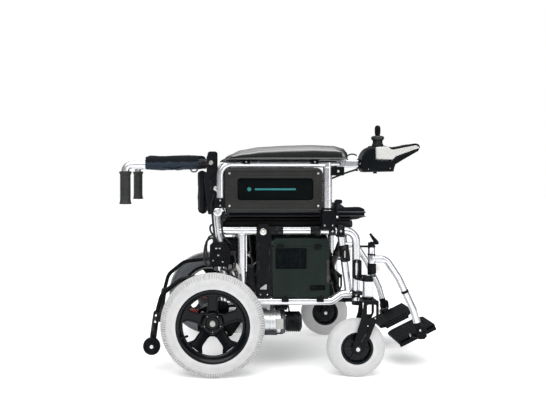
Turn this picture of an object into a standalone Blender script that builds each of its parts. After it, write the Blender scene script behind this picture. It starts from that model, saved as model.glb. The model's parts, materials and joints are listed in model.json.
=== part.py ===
"""Folding power wheelchair, modelled at rest with the upper half of its back folded down.

Axes: +X forward, +Y to the rider's left, +Z up. Origin: on the floor, under the middle of the
overall box. Every length is in metres. Distances along X are measured from the rear axle while the
parts are made; the empty named wheelchair then puts the rear axle at REAR_AXLE_X.
Parts of the rider's right side are made first, and the left ones are their mirror images.
"""

import math

import bmesh
import bpy
from mathutils import Matrix, Vector

REAR_AXLE_X = -0.2127  # places the origin under the middle of the overall length
GAP = 0.0004  # between pieces that touch on the real object

# Rear drive wheels
WHEEL_R = 0.159
WHEEL_Y = 0.283
TYRE_HALF_W = 0.028
RIM_R = 0.112
AXLE_R = 0.0085
HUB_Y = -0.263  # outer face of the right hub, well inside the rim's lip
SPOKE_SLOPE = -0.42  # how far a spoke leans outwards for each metre from the axle

# Front casters
CASTER_R = 0.089
CASTER_HALF_W = 0.022
CASTER_Y = 0.268
CASTER_AXLE_X = 0.437
STEM_X = 0.474
STEM_R = 0.008
BARREL_LOW, BARREL_HIGH = 0.240, 0.300

# Side frames and the scissor brace between them
FRAME_Y = 0.213
FRAME_R = 0.0125
TOP_RAIL_Z = 0.439
LOW_RAIL_Z = 0.2195
FRONT_RAIL_Z = 0.2415
FRONT_POST_X = 0.451
REAR_POST_X = 0.0926
BRACE_Y = 0.188
BRACE_LOW_Z = 0.2195
BRACE_HIGH_Z = 0.459
BRACE_R = 0.011
HINGE_TUBE_R = 0.008
BRACE_X = {"a": (0.146, 0.403), "b": (0.172, 0.430)}  # rear and front crossing tubes
PIVOT_Z = (BRACE_LOW_Z + BRACE_HIGH_Z) / 2

# Back
CANE_TOP = Vector((0.0, 0.0, 0.636))
CANE_FOOT = Vector((0.041, 0.0, 0.2195))
BACK_HINGE = Vector((-0.004, -FRAME_Y, 0.652))
GRIP_X = -0.272

# Armrests
ARM_Y = 0.252
ARM_R = 0.011
ARM_POST_R = 0.014
ARM_POST_X = 0.354
ARM_TOP_Z = 0.648
ARM_PIVOT = Vector((0.016, -ARM_Y, 0.500))
PAD_Y = 0.257
LATCH = Vector((ARM_POST_X + 0.026, -ARM_Y, 0.486))

# Legrests
HANGER_Y = 0.208
HANGER_X = 0.500
HANGER_R = 0.011
HANGER_LOW, HANGER_HIGH = 0.300, 0.387  # faces of the receivers that the post turns between
FOOT_HINGE = Vector((0.6535, -0.188, 0.1055))
FOOT_TILT = math.radians(26.7)
ALONG = Vector((1, 0, 0))

# Joystick
STICK = Vector((0.508, -ARM_Y, 0.695))
NOSE_TILT = math.radians(11.0)

COLOURS = {  # base colour, roughness, metallic
    "silver": ((0.72, 0.73, 0.75), 0.3, 0.9),
    "black_steel": ((0.02, 0.02, 0.022), 0.4, 0.4),
    "grey_tyre": ((0.62, 0.62, 0.61), 0.8, 0.0),
    "black_plastic": ((0.025, 0.027, 0.03), 0.45, 0.0),
    "grey_plastic": ((0.07, 0.07, 0.072), 0.5, 0.0),
    "light_plastic": ((0.6, 0.6, 0.58), 0.35, 0.1),
    "black_fabric": ((0.02, 0.021, 0.026), 0.9, 0.0),
    "pad_skin": ((0.03, 0.034, 0.034), 0.35, 0.0),
    "rubber": ((0.02, 0.02, 0.02), 0.8, 0.0),
    "red_plastic": ((0.55, 0.03, 0.02), 0.45, 0.0),
}

PLANES = {  # how the flat outline's own x, y and normal lie, for each normal
    "X": Matrix(((0, 0, 1, 0), (1, 0, 0, 0), (0, 1, 0, 0), (0, 0, 0, 1))),
    "Y": Matrix(((1, 0, 0, 0), (0, 0, -1, 0), (0, 1, 0, 0), (0, 0, 0, 1))),
    "Z": Matrix.Identity(4),
}


# ---------------------------------------------------------------- shapes


def clear_scene():
    for old in list(bpy.data.objects):
        bpy.data.objects.remove(old, do_unlink=True)
    parts = bpy.data.collections.new("power_wheelchair")
    bpy.context.scene.collection.children.link(parts)
    return parts


PARTS = clear_scene()


def linked(name, data):
    piece = bpy.data.objects.new(name, data)
    PARTS.objects.link(piece)
    return piece


def from_bmesh(name, bm):
    mesh = bpy.data.meshes.new(name)
    bm.to_mesh(mesh)
    bm.free()
    return linked(name, mesh)


def as_mesh(piece, name=None):
    """The piece as the viewport shows it, made a plain closed mesh; the original is removed."""
    bpy.context.view_layer.update()
    graph = bpy.context.evaluated_depsgraph_get()
    mesh = bpy.data.meshes.new_from_object(piece.evaluated_get(graph))
    mesh.transform(piece.matrix_world)
    name = name or piece.name
    bpy.data.objects.remove(piece, do_unlink=True)
    bm = bmesh.new()
    bm.from_mesh(mesh)
    bmesh.ops.remove_doubles(bm, verts=bm.verts, dist=2e-5)
    bmesh.ops.recalc_face_normals(bm, faces=bm.faces)
    bm.to_mesh(mesh)
    bm.free()
    return linked(name, mesh)


def smooth(piece, degrees=35.0):
    piece.data.shade_smooth()
    piece.data.set_sharp_from_angle(angle=math.radians(degrees))
    return piece


def box(name, low, high, bevel=0.0, segments=2):
    low, high = Vector(low), Vector(high)
    bm = bmesh.new()
    bmesh.ops.create_cube(bm, size=1.0)
    bmesh.ops.scale(bm, vec=high - low, verts=bm.verts)
    bmesh.ops.translate(bm, vec=(low + high) / 2, verts=bm.verts)
    piece = from_bmesh(name, bm)
    return rounded(piece, bevel, segments) if bevel else piece


def rounded(piece, width, segments=2, angle=40.0):
    bevel = piece.modifiers.new("round", "BEVEL")
    bevel.width = width
    bevel.segments = segments
    bevel.limit_method = "ANGLE"
    bevel.angle_limit = math.radians(angle)
    return as_mesh(piece)


def rod(name, start, end, radius, sides=12, end_radius=None):
    """A solid cylinder, or a cone frustum, from start to end."""
    start, end = Vector(start), Vector(end)
    bm = bmesh.new()
    turn = (end - start).to_track_quat("Z", "Y").to_matrix().to_4x4()
    bmesh.ops.create_cone(
        bm,
        cap_ends=True,
        segments=sides,
        radius1=radius,
        radius2=radius if end_radius is None else end_radius,
        depth=(end - start).length,
        matrix=Matrix.Translation((start + end) / 2) @ turn,
    )
    return from_bmesh(name, bm)


def turned(name, profile, centre, axis="Y", steps=32):
    """A solid of revolution. The profile is a closed loop of (radius, distance along the axis)."""
    mesh = bpy.data.meshes.new(name)
    points = [(radius, 0.0, along) for radius, along in profile]
    edges = [(i - 1, i) for i in range(len(points)) if points[i - 1][0] + points[i][0] > 0]
    mesh.from_pydata(points, [(i % len(points), j) for i, j in edges], [])
    piece = linked(name, mesh)
    screw = piece.modifiers.new("turn", "SCREW")
    screw.steps = screw.render_steps = steps
    screw.use_merge_vertices = True
    screw.merge_threshold = 1e-5
    lean = {"X": Matrix.Rotation(math.pi / 2, 4, "Y"), "Y": Matrix.Rotation(-math.pi / 2, 4, "X")}
    piece.matrix_world = Matrix.Translation(centre) @ lean.get(axis, Matrix.Identity(4))
    return as_mesh(piece)


def bent(points, radius, steps=4, closed=False):
    """The points with each inner corner replaced by an arc of this radius."""
    points = [Vector(p) for p in points]
    count = len(points)
    path = []
    for i, corner in enumerate(points):
        if not closed and i in (0, count - 1):
            path.append(corner)
            continue
        back = (points[i - 1] - corner).normalized()
        ahead = (points[(i + 1) % count] - corner).normalized()
        half = back.angle(ahead) / 2
        bisector = (back + ahead).normalized()
        centre = corner + bisector * (radius / math.sin(half))
        start = corner + back * (radius / math.tan(half)) - centre
        end = corner + ahead * (radius / math.tan(half)) - centre
        for step in range(steps + 1):
            path.append(centre + radius * start.slerp(end, step / steps).normalized())
    return path


def tube(name, points, radius, level=4):
    """A solid round bar along the points; level sets the sides, 4 + 2 * level."""
    curve = bpy.data.curves.new(name, "CURVE")
    curve.dimensions = "3D"
    curve.bevel_depth = radius
    curve.bevel_resolution = level
    curve.use_fill_caps = True
    spline = curve.splines.new("POLY")
    spline.points.add(len(points) - 1)
    for target, point in zip(spline.points, points):
        target.co = (*point, 1.0)
    return as_mesh(linked(name, curve))


def plate(name, outline, low, high, normal="Y"):
    """A flat plate with this outline, between low and high along its normal."""
    curve = bpy.data.curves.new(name, "CURVE")
    curve.dimensions = "2D"
    curve.fill_mode = "BOTH"
    curve.extrude = (high - low) / 2
    spline = curve.splines.new("POLY")
    spline.points.add(len(outline) - 1)
    for target, point in zip(spline.points, outline):
        target.co = (point[0], point[1], 0.0, 1.0)
    spline.use_cyclic_u = True
    piece = linked(name, curve)
    shift = {"X": Vector((1, 0, 0)), "Y": Vector((0, 1, 0)), "Z": Vector((0, 0, 1))}[normal]
    piece.matrix_world = Matrix.Translation(shift * (low + high) / 2) @ PLANES[normal]
    return as_mesh(piece)


def boxed(a, b, radius, steps=3):
    """The flat outline of a rectangle with round corners, from a to b."""
    corners = [(a[0], a[1], 0), (b[0], a[1], 0), (b[0], b[1], 0), (a[0], b[1], 0)]
    return [p.xy for p in bent(corners, radius, steps, closed=True)]


def combined(piece, others, operation, name=None):
    for other in others:
        boolean = piece.modifiers.new(operation.lower(), "BOOLEAN")
        boolean.operation = operation
        boolean.solver = "EXACT"
        boolean.object = other
    result = as_mesh(piece, name)
    for other in others:
        bpy.data.objects.remove(other, do_unlink=True)
    return result


def joined(name, pieces):
    return combined(pieces[0], pieces[1:], "UNION", name)


def cut(piece, cutters):
    return combined(piece, cutters, "DIFFERENCE", piece.name)


def mirrored(piece, name):
    """The piece's mirror image, on the other side of the chair."""
    mesh = piece.data.copy()
    mesh.transform(Matrix.Scale(-1, 4, (0, 1, 0)))
    mesh.flip_normals()
    return linked(name, mesh)


def materials():
    made = {}
    for name, (colour, roughness, metallic) in COLOURS.items():
        material = bpy.data.materials.new(name)
        material.use_nodes = True
        shader = material.node_tree.nodes["Principled BSDF"]
        shader.inputs["Base Color"].default_value = (*colour, 1.0)
        shader.inputs["Roughness"].default_value = roughness
        shader.inputs["Metallic"].default_value = metallic
        made[name] = material
    return made


MATERIALS = materials()

WHEELCHAIR = bpy.data.objects.new("wheelchair", None)
PARTS.objects.link(WHEELCHAIR)
BODIES = {}


def body(name, pivot):
    """An empty on the joint axis of a moving body; its parts hang from it."""
    empty = bpy.data.objects.new(f"{name}_axis", None)
    PARTS.objects.link(empty)
    empty.parent = WHEELCHAIR
    empty.location = pivot
    BODIES[name] = empty


def hung(piece, body_name, material):
    """Gives the piece its material and hangs it from its body's empty, where it stands."""
    piece.data.materials.clear()
    piece.data.materials.append(MATERIALS[material])
    smooth(piece)
    empty = BODIES[body_name]
    piece.parent = empty
    piece.matrix_parent_inverse = Matrix.Translation(-empty.location)
    return piece


def flipped(point):
    return Vector((point[0], -point[1], point[2]))


def pair(piece, part, body_name, material):
    """Hangs a right-hand piece, and its mirror image on the left."""
    left = mirrored(piece, f"{part}_left")
    piece.name = f"{part}_right"
    hung(piece, f"{body_name}_right", material)
    hung(left, f"{body_name}_left", material)


def body_pair(name, pivot):
    body(f"{name}_right", pivot)
    body(f"{name}_left", flipped(pivot))


# ---------------------------------------------------------------- rear wheels


def tyre_profile(radius, rim, half_width, points=9):
    """Half-round tread over a rim of the given radius, as a closed loop."""
    height = radius - rim
    arc = []
    for i in range(points):
        turn = math.pi * i / (points - 1)
        arc.append((rim + height * math.sin(turn) ** 0.62, half_width * math.cos(turn)))
    return arc


def rear_wheel():
    centre = (0.0, -WHEEL_Y, WHEEL_R)
    tyre = turned("tyre", tyre_profile(WHEEL_R, RIM_R + GAP, TYRE_HALF_W), centre, steps=36)
    pair(tyre, "tyre", "wheel", "grey_tyre")

    lip, back = -0.026, 0.022  # rim edges, from the wheel's middle plane
    barrel = [
        (RIM_R, lip),
        (RIM_R, back),
        (RIM_R - 0.010, back),
        (RIM_R - 0.014, 0.002),
        (RIM_R - 0.020, -0.004),
        (RIM_R - 0.020, -0.014),
        (RIM_R - 0.011, lip),
    ]
    rim = turned("rim", barrel, centre, steps=36)
    hub = rod("hub", (0, HUB_Y, WHEEL_R), (0, HUB_Y + 0.022, WHEEL_R), 0.034, 20)
    spoke_end, half_width = RIM_R - 0.017, 0.0155
    dish = Matrix(((1, 0, 0, 0), (0, 1, SPOKE_SLOPE, 0), (0, 0, 1, 0), (0, 0, 0, 1)))
    spokes = []
    for i in range(5):
        hub_end = 0.014
        outline = [
            (half_width, hub_end),
            (half_width, spoke_end),
            (-half_width, spoke_end),
            (-half_width, hub_end),
        ]
        spoke = plate("spoke", outline, HUB_Y + 0.010, HUB_Y + 0.022)
        turn = Matrix.Rotation(math.radians(90 - 72 * i), 4, "Y")
        spoke.data.transform(Matrix.Translation((0, 0, WHEEL_R)) @ turn @ dish)
        spokes.append(spoke)
    rim = joined("rim", [rim, hub, *spokes])
    bore = rod("bore", (0, -0.35, WHEEL_R), (0, -0.2, WHEEL_R), AXLE_R + GAP, 16)
    pair(cut(rim, [bore]), "rim", "wheel", "black_plastic")


# ---------------------------------------------------------------- casters


def caster():
    centre = (CASTER_AXLE_X, -CASTER_Y, CASTER_R)
    hub_r = 0.049
    tyre = turned("caster", tyre_profile(CASTER_R, hub_r + GAP, CASTER_HALF_W, 7), centre, steps=26)
    pair(tyre, "caster_tyre", "caster_wheel", "grey_tyre")
    bolt_r = 0.005
    disc = [
        (bolt_r + GAP, -0.023),
        (0.014, -0.023),
        (0.014, -0.012),
        (hub_r - 0.008, -0.012),
        (hub_r - 0.006, -0.019),
        (hub_r, -0.019),
        (hub_r, 0.019),
        (hub_r - 0.006, 0.019),
        (hub_r - 0.008, 0.012),
        (0.014, 0.012),
        (0.014, 0.023),
        (bolt_r + GAP, 0.023),
    ]
    pair(turned("disc", disc, centre, steps=20), "caster_hub", "caster_wheel", "black_plastic")

    leg = [
        (CASTER_AXLE_X - 0.016, CASTER_R),
        (CASTER_AXLE_X - 0.010, CASTER_R - 0.013),
        (CASTER_AXLE_X + 0.006, CASTER_R - 0.015),
        (CASTER_AXLE_X + 0.017, CASTER_R - 0.004),
        (STEM_X + 0.016, 0.166),
        (STEM_X + 0.026, 0.190),
        (STEM_X + 0.026, 0.236),
        (STEM_X - 0.018, 0.236),
        (STEM_X - 0.024, 0.190),
    ]
    window = [
        (STEM_X - 0.008, 0.192),
        (STEM_X + 0.018, 0.192),
        (STEM_X + 0.018, 0.220),
        (STEM_X - 0.008, 0.220),
    ]
    pieces = []
    for side in (-1, 1):
        near = -CASTER_Y + side * 0.0255
        far = -CASTER_Y + side * 0.0305
        cheek = plate("cheek", leg, min(near, far), max(near, far))
        hole = plate("window", window, min(near, far) - 0.01, max(near, far) + 0.01)
        pieces.append(cut(cheek, [hole]))
    half = 0.029
    crown_low = (STEM_X - 0.016, -CASTER_Y - half, 0.2265)
    crown_high = (STEM_X + 0.024, -CASTER_Y + half, 0.2345)
    pieces.append(box("crown", crown_low, crown_high))
    pieces.append(rod("stem", (STEM_X, -CASTER_Y, 0.230), (STEM_X, -CASTER_Y, 0.308), STEM_R, 14))
    ends = [(CASTER_AXLE_X, -CASTER_Y + side * 0.034, CASTER_R) for side in (-1, 1)]
    pieces.append(rod("bolt", *ends, bolt_r, 12))
    pair(joined("fork", pieces), "caster_fork", "caster_fork", "black_steel")


# ---------------------------------------------------------------- side frames


def cane_at(height):
    share = (height - CANE_FOOT.z) / (CANE_TOP.z - CANE_FOOT.z)
    return CANE_FOOT.x + (CANE_TOP.x - CANE_FOOT.x) * share


def frame_tube(name, points, radius=FRAME_R, bend=0.035):
    path = [(x, -FRAME_Y, z) for x, z in points]
    return tube(name, bent(path, bend), radius, 3)


def side_frame():
    rail_front = FRONT_POST_X
    pieces = [
        frame_tube(
            "top_rail",
            [(cane_at(TOP_RAIL_Z), TOP_RAIL_Z), (rail_front, TOP_RAIL_Z), (rail_front, 0.208)],
        ),
        frame_tube("cane", [(CANE_TOP.x, CANE_TOP.z), (CANE_FOOT.x - 0.001, 0.206)]),
        frame_tube(
            "low_rail",
            [(CANE_FOOT.x, LOW_RAIL_Z), (0.373, LOW_RAIL_Z), (0.405, FRONT_RAIL_Z), (0.450, FRONT_RAIL_Z)],
            bend=0.018,
        ),
        frame_tube("rear_post", [(REAR_POST_X, TOP_RAIL_Z), (REAR_POST_X, LOW_RAIL_Z)]),
        frame_tube("strut", [(0.401, TOP_RAIL_Z), (0.428, FRONT_RAIL_Z)], 0.0115),
    ]
    # Plate that the gear motor bolts to, with the hole its neck passes through
    foot = [
        (-0.046, 0.125),
        (-0.020, 0.108),
        (0.060, 0.108),
        (0.118, 0.190),
        (0.118, LOW_RAIL_Z),
        (0.020, LOW_RAIL_Z),
        (-0.046, 0.192),
    ]
    pieces.append(plate("axle_plate", foot, -0.216, -0.210))
    # Barrel for the caster's stem, held off the front post by two plates
    stem = Vector((STEM_X, -CASTER_Y, 0))
    up = Vector((0, 0, 1))
    pieces.append(rod("barrel", stem + up * BARREL_LOW, stem + up * BARREL_HIGH, 0.017, 18))
    arm = [
        (STEM_X - 0.012, -CASTER_Y),
        (STEM_X + 0.012, -CASTER_Y + 0.004),
        (FRONT_POST_X + 0.012, -FRAME_Y),
        (FRONT_POST_X - 0.012, -FRAME_Y),
    ]
    for low in (0.244, 0.288):
        pieces.append(plate("barrel_arm", arm, low, low + 0.008, "Z"))
    # Ears that carry the brace's lower tube
    for x in (0.108, FRONT_POST_X):
        pieces.append(box("ear", (x - 0.004, -0.2105, 0.208), (x + 0.004, -0.1745, 0.231)))
    # Saddles that the seat tube drops into
    for x in (0.072, 0.352):
        pieces.append(box("saddle", (x - 0.012, -0.210, 0.430), (x + 0.012, -0.1775, 0.4470)))
    # Receivers above and below the legrest's post, each with a pin into it
    for tab_low, pin_low in ((HANGER_LOW - 0.005, HANGER_LOW - 0.003), (HANGER_HIGH, HANGER_HIGH - 0.016)):
        tab = boxed((FRONT_POST_X, -0.2175), (HANGER_X + 0.012, -0.1985), 0.006)
        pieces.append(plate("tab", tab, tab_low, tab_low + 0.005, "Z"))
        pin = Vector((HANGER_X, -HANGER_Y, pin_low))
        pieces.append(rod("pin", pin, pin + Vector((0, 0, 0.019)), 0.005, 12))
    # Armrest socket, open in front and behind
    seat_x, outer, inner = ARM_POST_X, -ARM_Y - 0.0195, -ARM_Y + 0.0315
    pieces.append(box("cradle", (seat_x - 0.020, outer, 0.446), (seat_x + 0.020, inner, 0.466)))
    for side in (-1, 1):
        wall = -ARM_Y + side * 0.0172
        low = (seat_x - 0.019, wall - 0.0022, 0.450)
        pieces.append(box("cheek", low, (seat_x + 0.019, wall + 0.0022, 0.505)))
        low = (seat_x + 0.015, wall - 0.0022, LATCH.z - 0.008)
        pieces.append(box("ear", low, (seat_x + 0.033, wall + 0.0022, LATCH.z + 0.008)))
    ends = [LATCH + Vector((0, side * 0.0172, 0)) for side in (-1, 1)]
    pieces.append(rod("latch_pin", *ends, 0.0028, 10))
    # Pin of the armrest's pivot
    inner_end = Vector((ARM_PIVOT.x, -FRAME_Y, ARM_PIVOT.z))
    pieces.append(rod("arm_pin", inner_end, ARM_PIVOT - Vector((0, 0.018, 0)), 0.005, 12))
    # Clevis of the back hinge and its pin
    ear = boxed((-0.022, 0.598), (0.018, 0.686), 0.010)
    for side in (-1, 1):
        wall = -FRAME_Y + side * 0.0152
        pieces.append(plate("clevis", ear, wall - 0.0016, wall + 0.0016))
    ends = [BACK_HINGE + Vector((0, side * 0.018, 0)) for side in (-1, 1)]
    pieces.append(rod("hinge_pin", *ends, 0.004, 12))
    block_low = (-0.012, -FRAME_Y - 0.0150, 0.602)
    pieces.append(box("block", block_low, (0.016, -FRAME_Y + 0.0150, 0.622)))
    frame = joined("side_frame", pieces)
    cutters = [
        rod("neck_hole", (0, -0.24, WHEEL_R), (0, -0.19, WHEEL_R), 0.0305, 24),
        rod("stem_bore", stem + up * 0.2, stem + up * 0.35, STEM_R + 0.0008, 14),
        rod(
            "hinge_bore",
            (0.05, -BRACE_Y, BRACE_LOW_Z),
            (0.50, -BRACE_Y, BRACE_LOW_Z),
            HINGE_TUBE_R + 0.0008,
            14,
        ),
    ]
    pair(cut(frame, cutters), "side_frame", "frame", "silver")


def brace(letter, foot_side):
    """Two crossing tubes, the hinge tube at their feet and the seat tube at their heads."""
    rear_x, front_x = BRACE_X[letter]
    foot_y, head_y = foot_side * BRACE_Y, -foot_side * BRACE_Y
    pieces = [
        tube("seat_tube", [(0.032, head_y, BRACE_HIGH_Z), (0.474, head_y, BRACE_HIGH_Z)], BRACE_R, 3),
        rod("hinge_tube", (0.098, foot_y, BRACE_LOW_Z), (0.461, foot_y, BRACE_LOW_Z), HINGE_TUBE_R, 14),
    ]
    for x in (rear_x, front_x):
        ends = [(x, foot_y, BRACE_LOW_Z), (x, head_y, BRACE_HIGH_Z)]
        pieces.append(tube("cross_tube", ends, BRACE_R, 3))
    bore = rod("bore", (0.05, 0, PIVOT_Z), (0.50, 0, PIVOT_Z), 0.0050, 12)
    whole = cut(joined(f"cross_brace_{letter}", pieces), [bore])
    hung(whole, f"brace_{letter}", "black_steel")


def cross_frame():
    brace("a", -1)
    brace("b", 1)
    bolt = rod("cross_pivot_bolt", (0.122, 0, PIVOT_Z), (0.446, 0, PIVOT_Z), 0.0045, 12)
    hung(bolt, "brace_a", "black_steel")


# ---------------------------------------------------------------- drive


def drive_unit():
    axle_z = WHEEL_R
    flange = -0.210 + GAP
    motor_y, motor_z = -0.170, 0.146
    pieces = [
        rod("gearbox", (0, flange, axle_z), (0, -0.150, axle_z), 0.048, 24),
        rod("neck", (0, -0.238, axle_z), (0, -0.190, axle_z), 0.0295, 24),
        rod("shaft", (0, HUB_Y - 0.009, axle_z), (0, -0.200, axle_z), AXLE_R, 16),
        rod("can", (0.02, motor_y, motor_z), (0.232, motor_y, motor_z), 0.0375, 24),
        rod("brake", (0.225, motor_y, motor_z), (0.285, motor_y, motor_z), 0.0325, 24),
    ]
    pair(joined("motor", pieces), "gear_motor", "frame", "silver")
    lever = [
        box("arm", (-0.068, -0.1490, 0.166), (0.006, -0.1450, 0.178), 0.0015),
        rod("boss", (0, -0.1494, axle_z + 0.012), (0, -0.1440, axle_z + 0.012), 0.012, 16),
        box("thumb", (-0.072, -0.1505, 0.1635), (-0.054, -0.1385, 0.1805), 0.003),
    ]
    pair(joined("lever", lever), "clutch_lever", "clutch", "red_plastic")


def battery():
    """A sealed case, solid with its cells, and the lid with the carrying handle moulded in."""
    low = Vector((0.187, -0.231, 0.2335))
    high = Vector((0.364, -0.118, 0.4165))
    lid_z = 0.392
    case = box("case", low, (high.x, high.y, lid_z), 0.005)
    cutters = [
        box("slot", (0.300, low.y - 0.01, 0.255), (0.350, low.y + 0.003, 0.275)),
        box("recess", (0.196, low.y - 0.01, 0.320), (0.292, low.y + 0.0015, 0.386)),
        box("groove", (0.300, low.y - 0.01, 0.285), (0.304, low.y + 0.002, 0.388)),
    ]
    pair(cut(case, cutters), "battery_case", "frame", "black_plastic")
    lid = box("lid", (low.x, low.y, lid_z + GAP), high, 0.005)
    hand = box("hand", (0.236, -0.190, 0.401), (0.316, low.y - 0.01, 0.410), 0.002, 1)
    pair(cut(lid, [hand]), "battery_lid", "frame", "black_plastic")


def power_module():
    pieces = [box("case", (0.002, -0.1945, 0.318), (0.086, -0.1200, 0.412), 0.003)]
    for i in range(6):
        x = 0.010 + i * 0.0125
        pieces.append(box("fin", (x, -0.1245, 0.324), (x + 0.004, -0.1120, 0.406)))
    pieces.append(box("bracket", (0.022, -0.2000, 0.396), (0.066, -0.1900, 0.408)))
    hung(joined("power_module", pieces), "frame_right", "black_plastic")


# ---------------------------------------------------------------- back


def back():
    mid = -FRAME_Y
    path = bent([(-0.002, mid, 0.652), (GRIP_X, mid, 0.645), (GRIP_X, mid, 0.536)], 0.018)
    bore = rod("bore", (-0.004, -0.24, 0.652), (-0.004, -0.18, 0.652), 0.0048, 12)
    cane = cut(tube("cane", path, FRAME_R, 3), [bore])
    pair(cane, "back_cane", "back", "silver")
    sleeve = [
        (FRAME_R + GAP, 0.0),
        (FRAME_R + GAP, 0.099),
        (0.0175, 0.099),
        (0.0175, 0.093),
        (0.0158, 0.089),
        (0.0158, 0.004),
        (0.0170, -0.004),
        (0.0040, -0.004),
        (0.0040, 0.0),
    ]
    grip = turned("grip", sleeve, (GRIP_X, mid, 0.5265), "Z", 16)
    pair(grip, "push_grip", "back", "rubber")
    lower = box("back_lower", (-0.046, -0.196, 0.487), (-0.013, 0.196, 0.630), 0.010)
    hung(lower, "frame_right", "black_fabric").name = "back_upholstery_lower"
    upper = box("back_upper", (-0.214, -0.196, 0.637), (-0.024, 0.196, 0.675), 0.010)
    hung(upper, "back_right", "black_fabric").name = "back_upholstery_upper"


# ---------------------------------------------------------------- seat


def seat():
    sling = box("seat_sling", (0.040, -0.199, 0.4708), (0.470, 0.199, 0.4768), 0.0015, 1)
    hung(sling, "brace_a", "black_fabric")
    cushion = box("seat_cushion", (0.045, -0.197, 0.4775), (0.492, 0.197, 0.5120), 0.008)
    hung(cushion, "brace_a", "black_fabric")


# ---------------------------------------------------------------- armrests


def armrest_frame():
    y = -ARM_Y
    loop = bent([(0.024, y, 0.506), (0.024, y, ARM_TOP_Z), (0.392, y, ARM_TOP_Z)], 0.035)
    pieces = [
        tube("loop", loop, ARM_R, 3),
        tube("post", [(ARM_POST_X, y, 0.4675), (ARM_POST_X, y, ARM_TOP_Z + 0.004)], ARM_POST_R, 3),
        rod(
            "knuckle",
            (ARM_PIVOT.x, y - 0.0115, ARM_PIVOT.z),
            (ARM_PIVOT.x, y + 0.0115, ARM_PIVOT.z),
            0.013,
            16,
        ),
    ]
    bore = rod("bore", (ARM_PIVOT.x, -0.29, ARM_PIVOT.z), (ARM_PIVOT.x, -0.2, ARM_PIVOT.z), 0.0058, 12)
    frame = cut(joined("armrest_frame", pieces), [bore])
    left = mirrored(frame, "armrest_frame_left")
    hung(left, "armrest_left", "silver")
    # The right one also carries the joystick's bracket
    bracket = [
        box("bar", (0.380, y - 0.010, 0.637), (0.461, y + 0.010, 0.659), 0.002, 1),
        box("clamp", (0.362, y - 0.013, 0.612), (0.404, y + 0.013, 0.640), 0.003, 1),
    ]
    hung(joined("armrest_frame_right", [frame, *bracket]), "armrest_right", "silver")


def armrest_cover():
    outline = [
        (0.036, 0.6625),
        (0.050, 0.674),
        (0.085, 0.689),
        (0.140, 0.698),
        (0.220, 0.704),
        (0.310, 0.706),
        (0.370, 0.703),
        (0.400, 0.695),
        (0.411, 0.683),
        (0.411, 0.670),
        (0.400, 0.6595 + GAP),
        (0.050, 0.6595 + GAP),
    ]
    pad = rounded(plate("pad", outline, -PAD_Y - 0.026, -PAD_Y + 0.026), 0.006, 2, 50.0)
    pair(pad, "armrest_pad", "armrest", "pad_skin")
    shape = boxed((0.0372, 0.502), (0.3385, 0.6360), 0.020)
    panel = plate("panel", shape, -ARM_Y - 0.010, -ARM_Y + 0.010)
    recess = boxed((0.0765, 0.536), (0.309, 0.604), 0.010)
    pocket = plate("pocket", recess, -ARM_Y - 0.02, -ARM_Y - 0.004)
    back = boxed((0.043, 0.508), (0.332, 0.630), 0.016)
    hollow = plate("hollow", back, -ARM_Y + 0.0000, -ARM_Y + 0.02)
    pair(cut(panel, [pocket, hollow]), "side_panel", "armrest", "grey_plastic")


def armrest_latch():
    """Spring lever in front of the socket that holds the armrest's post down."""
    x, y, z = LATCH
    pieces = [
        rod("barrel", (x, y - 0.012, z), (x, y + 0.012, z), 0.0055, 14),
        box("paddle", (x - 0.004, y - 0.010, z), (x + 0.004, y + 0.010, z + 0.050), 0.002),
        box("thumb", (x - 0.002, y - 0.011, z + 0.040), (x + 0.018, y + 0.011, z + 0.052), 0.003),
    ]
    latch = cut(joined("latch", pieces), [rod("bore", (x, y - 0.03, z), (x, y + 0.03, z), 0.0034, 10)])
    pair(latch, "armrest_latch", "armrest_latch", "black_plastic")


# ---------------------------------------------------------------- legrests


def hanger():
    y = -HANGER_Y
    route = [(HANGER_X, 0.350), (0.545, 0.350), (0.585, 0.290), (0.632, 0.190), (FOOT_HINGE.x, 0.112)]
    leg = bent([(x, y, z) for x, z in route], 0.030, 3)
    pieces = [
        tube("leg", leg, HANGER_R, 3),
        rod("post", (HANGER_X, y, HANGER_LOW + GAP), (HANGER_X, y, HANGER_HIGH - GAP), HANGER_R, 16),
    ]
    # Middle knuckle of the footplate's level hinge, with the pin through it
    pieces.append(rod("knuckle", FOOT_HINGE - ALONG * 0.011, FOOT_HINGE + ALONG * 0.011, 0.0075, 14))
    pieces.append(rod("pin", FOOT_HINGE - ALONG * 0.0255, FOOT_HINGE + ALONG * 0.0255, 0.0035, 12))
    x, z = FOOT_HINGE.x, FOOT_HINGE.z
    pieces.append(box("web", (x - 0.010, y, z - 0.004), (x + 0.010, FOOT_HINGE.y - 0.001, z + 0.010)))
    whole = joined("hanger", pieces)
    cutters = []
    for end in (HANGER_LOW, HANGER_HIGH):  # a hole for the receiver's pin at each end of the post
        cutters.append(rod("bore", (HANGER_X, y, end - 0.0168), (HANGER_X, y, end + 0.0168), 0.0056, 12))
    pair(cut(whole, cutters), "legrest_hanger", "hanger", "silver")
    latch_z = HANGER_HIGH + 0.005 + GAP
    latch = [
        rod("boss", (HANGER_X, y, latch_z), (HANGER_X, y, latch_z + 0.010), 0.011, 16),
        box(
            "arm",
            (HANGER_X - 0.004, y - 0.005, latch_z + 0.003),
            (HANGER_X + 0.022, y + 0.005, latch_z + 0.012),
            0.002,
        ),
        rod("horn", (HANGER_X + 0.016, y, latch_z + 0.005), (HANGER_X - 0.004, y, 0.430), 0.008, 12, 0.0035),
    ]
    pair(joined("latch", latch), "legrest_latch", "legrest_latch", "black_plastic")


def foot_frame():
    """The sole's own frame: X along it towards the toes, Y inboard, Z up through it."""
    return Matrix.Translation(FOOT_HINGE) @ Matrix.Rotation(-FOOT_TILT, 4, "Y")


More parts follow.
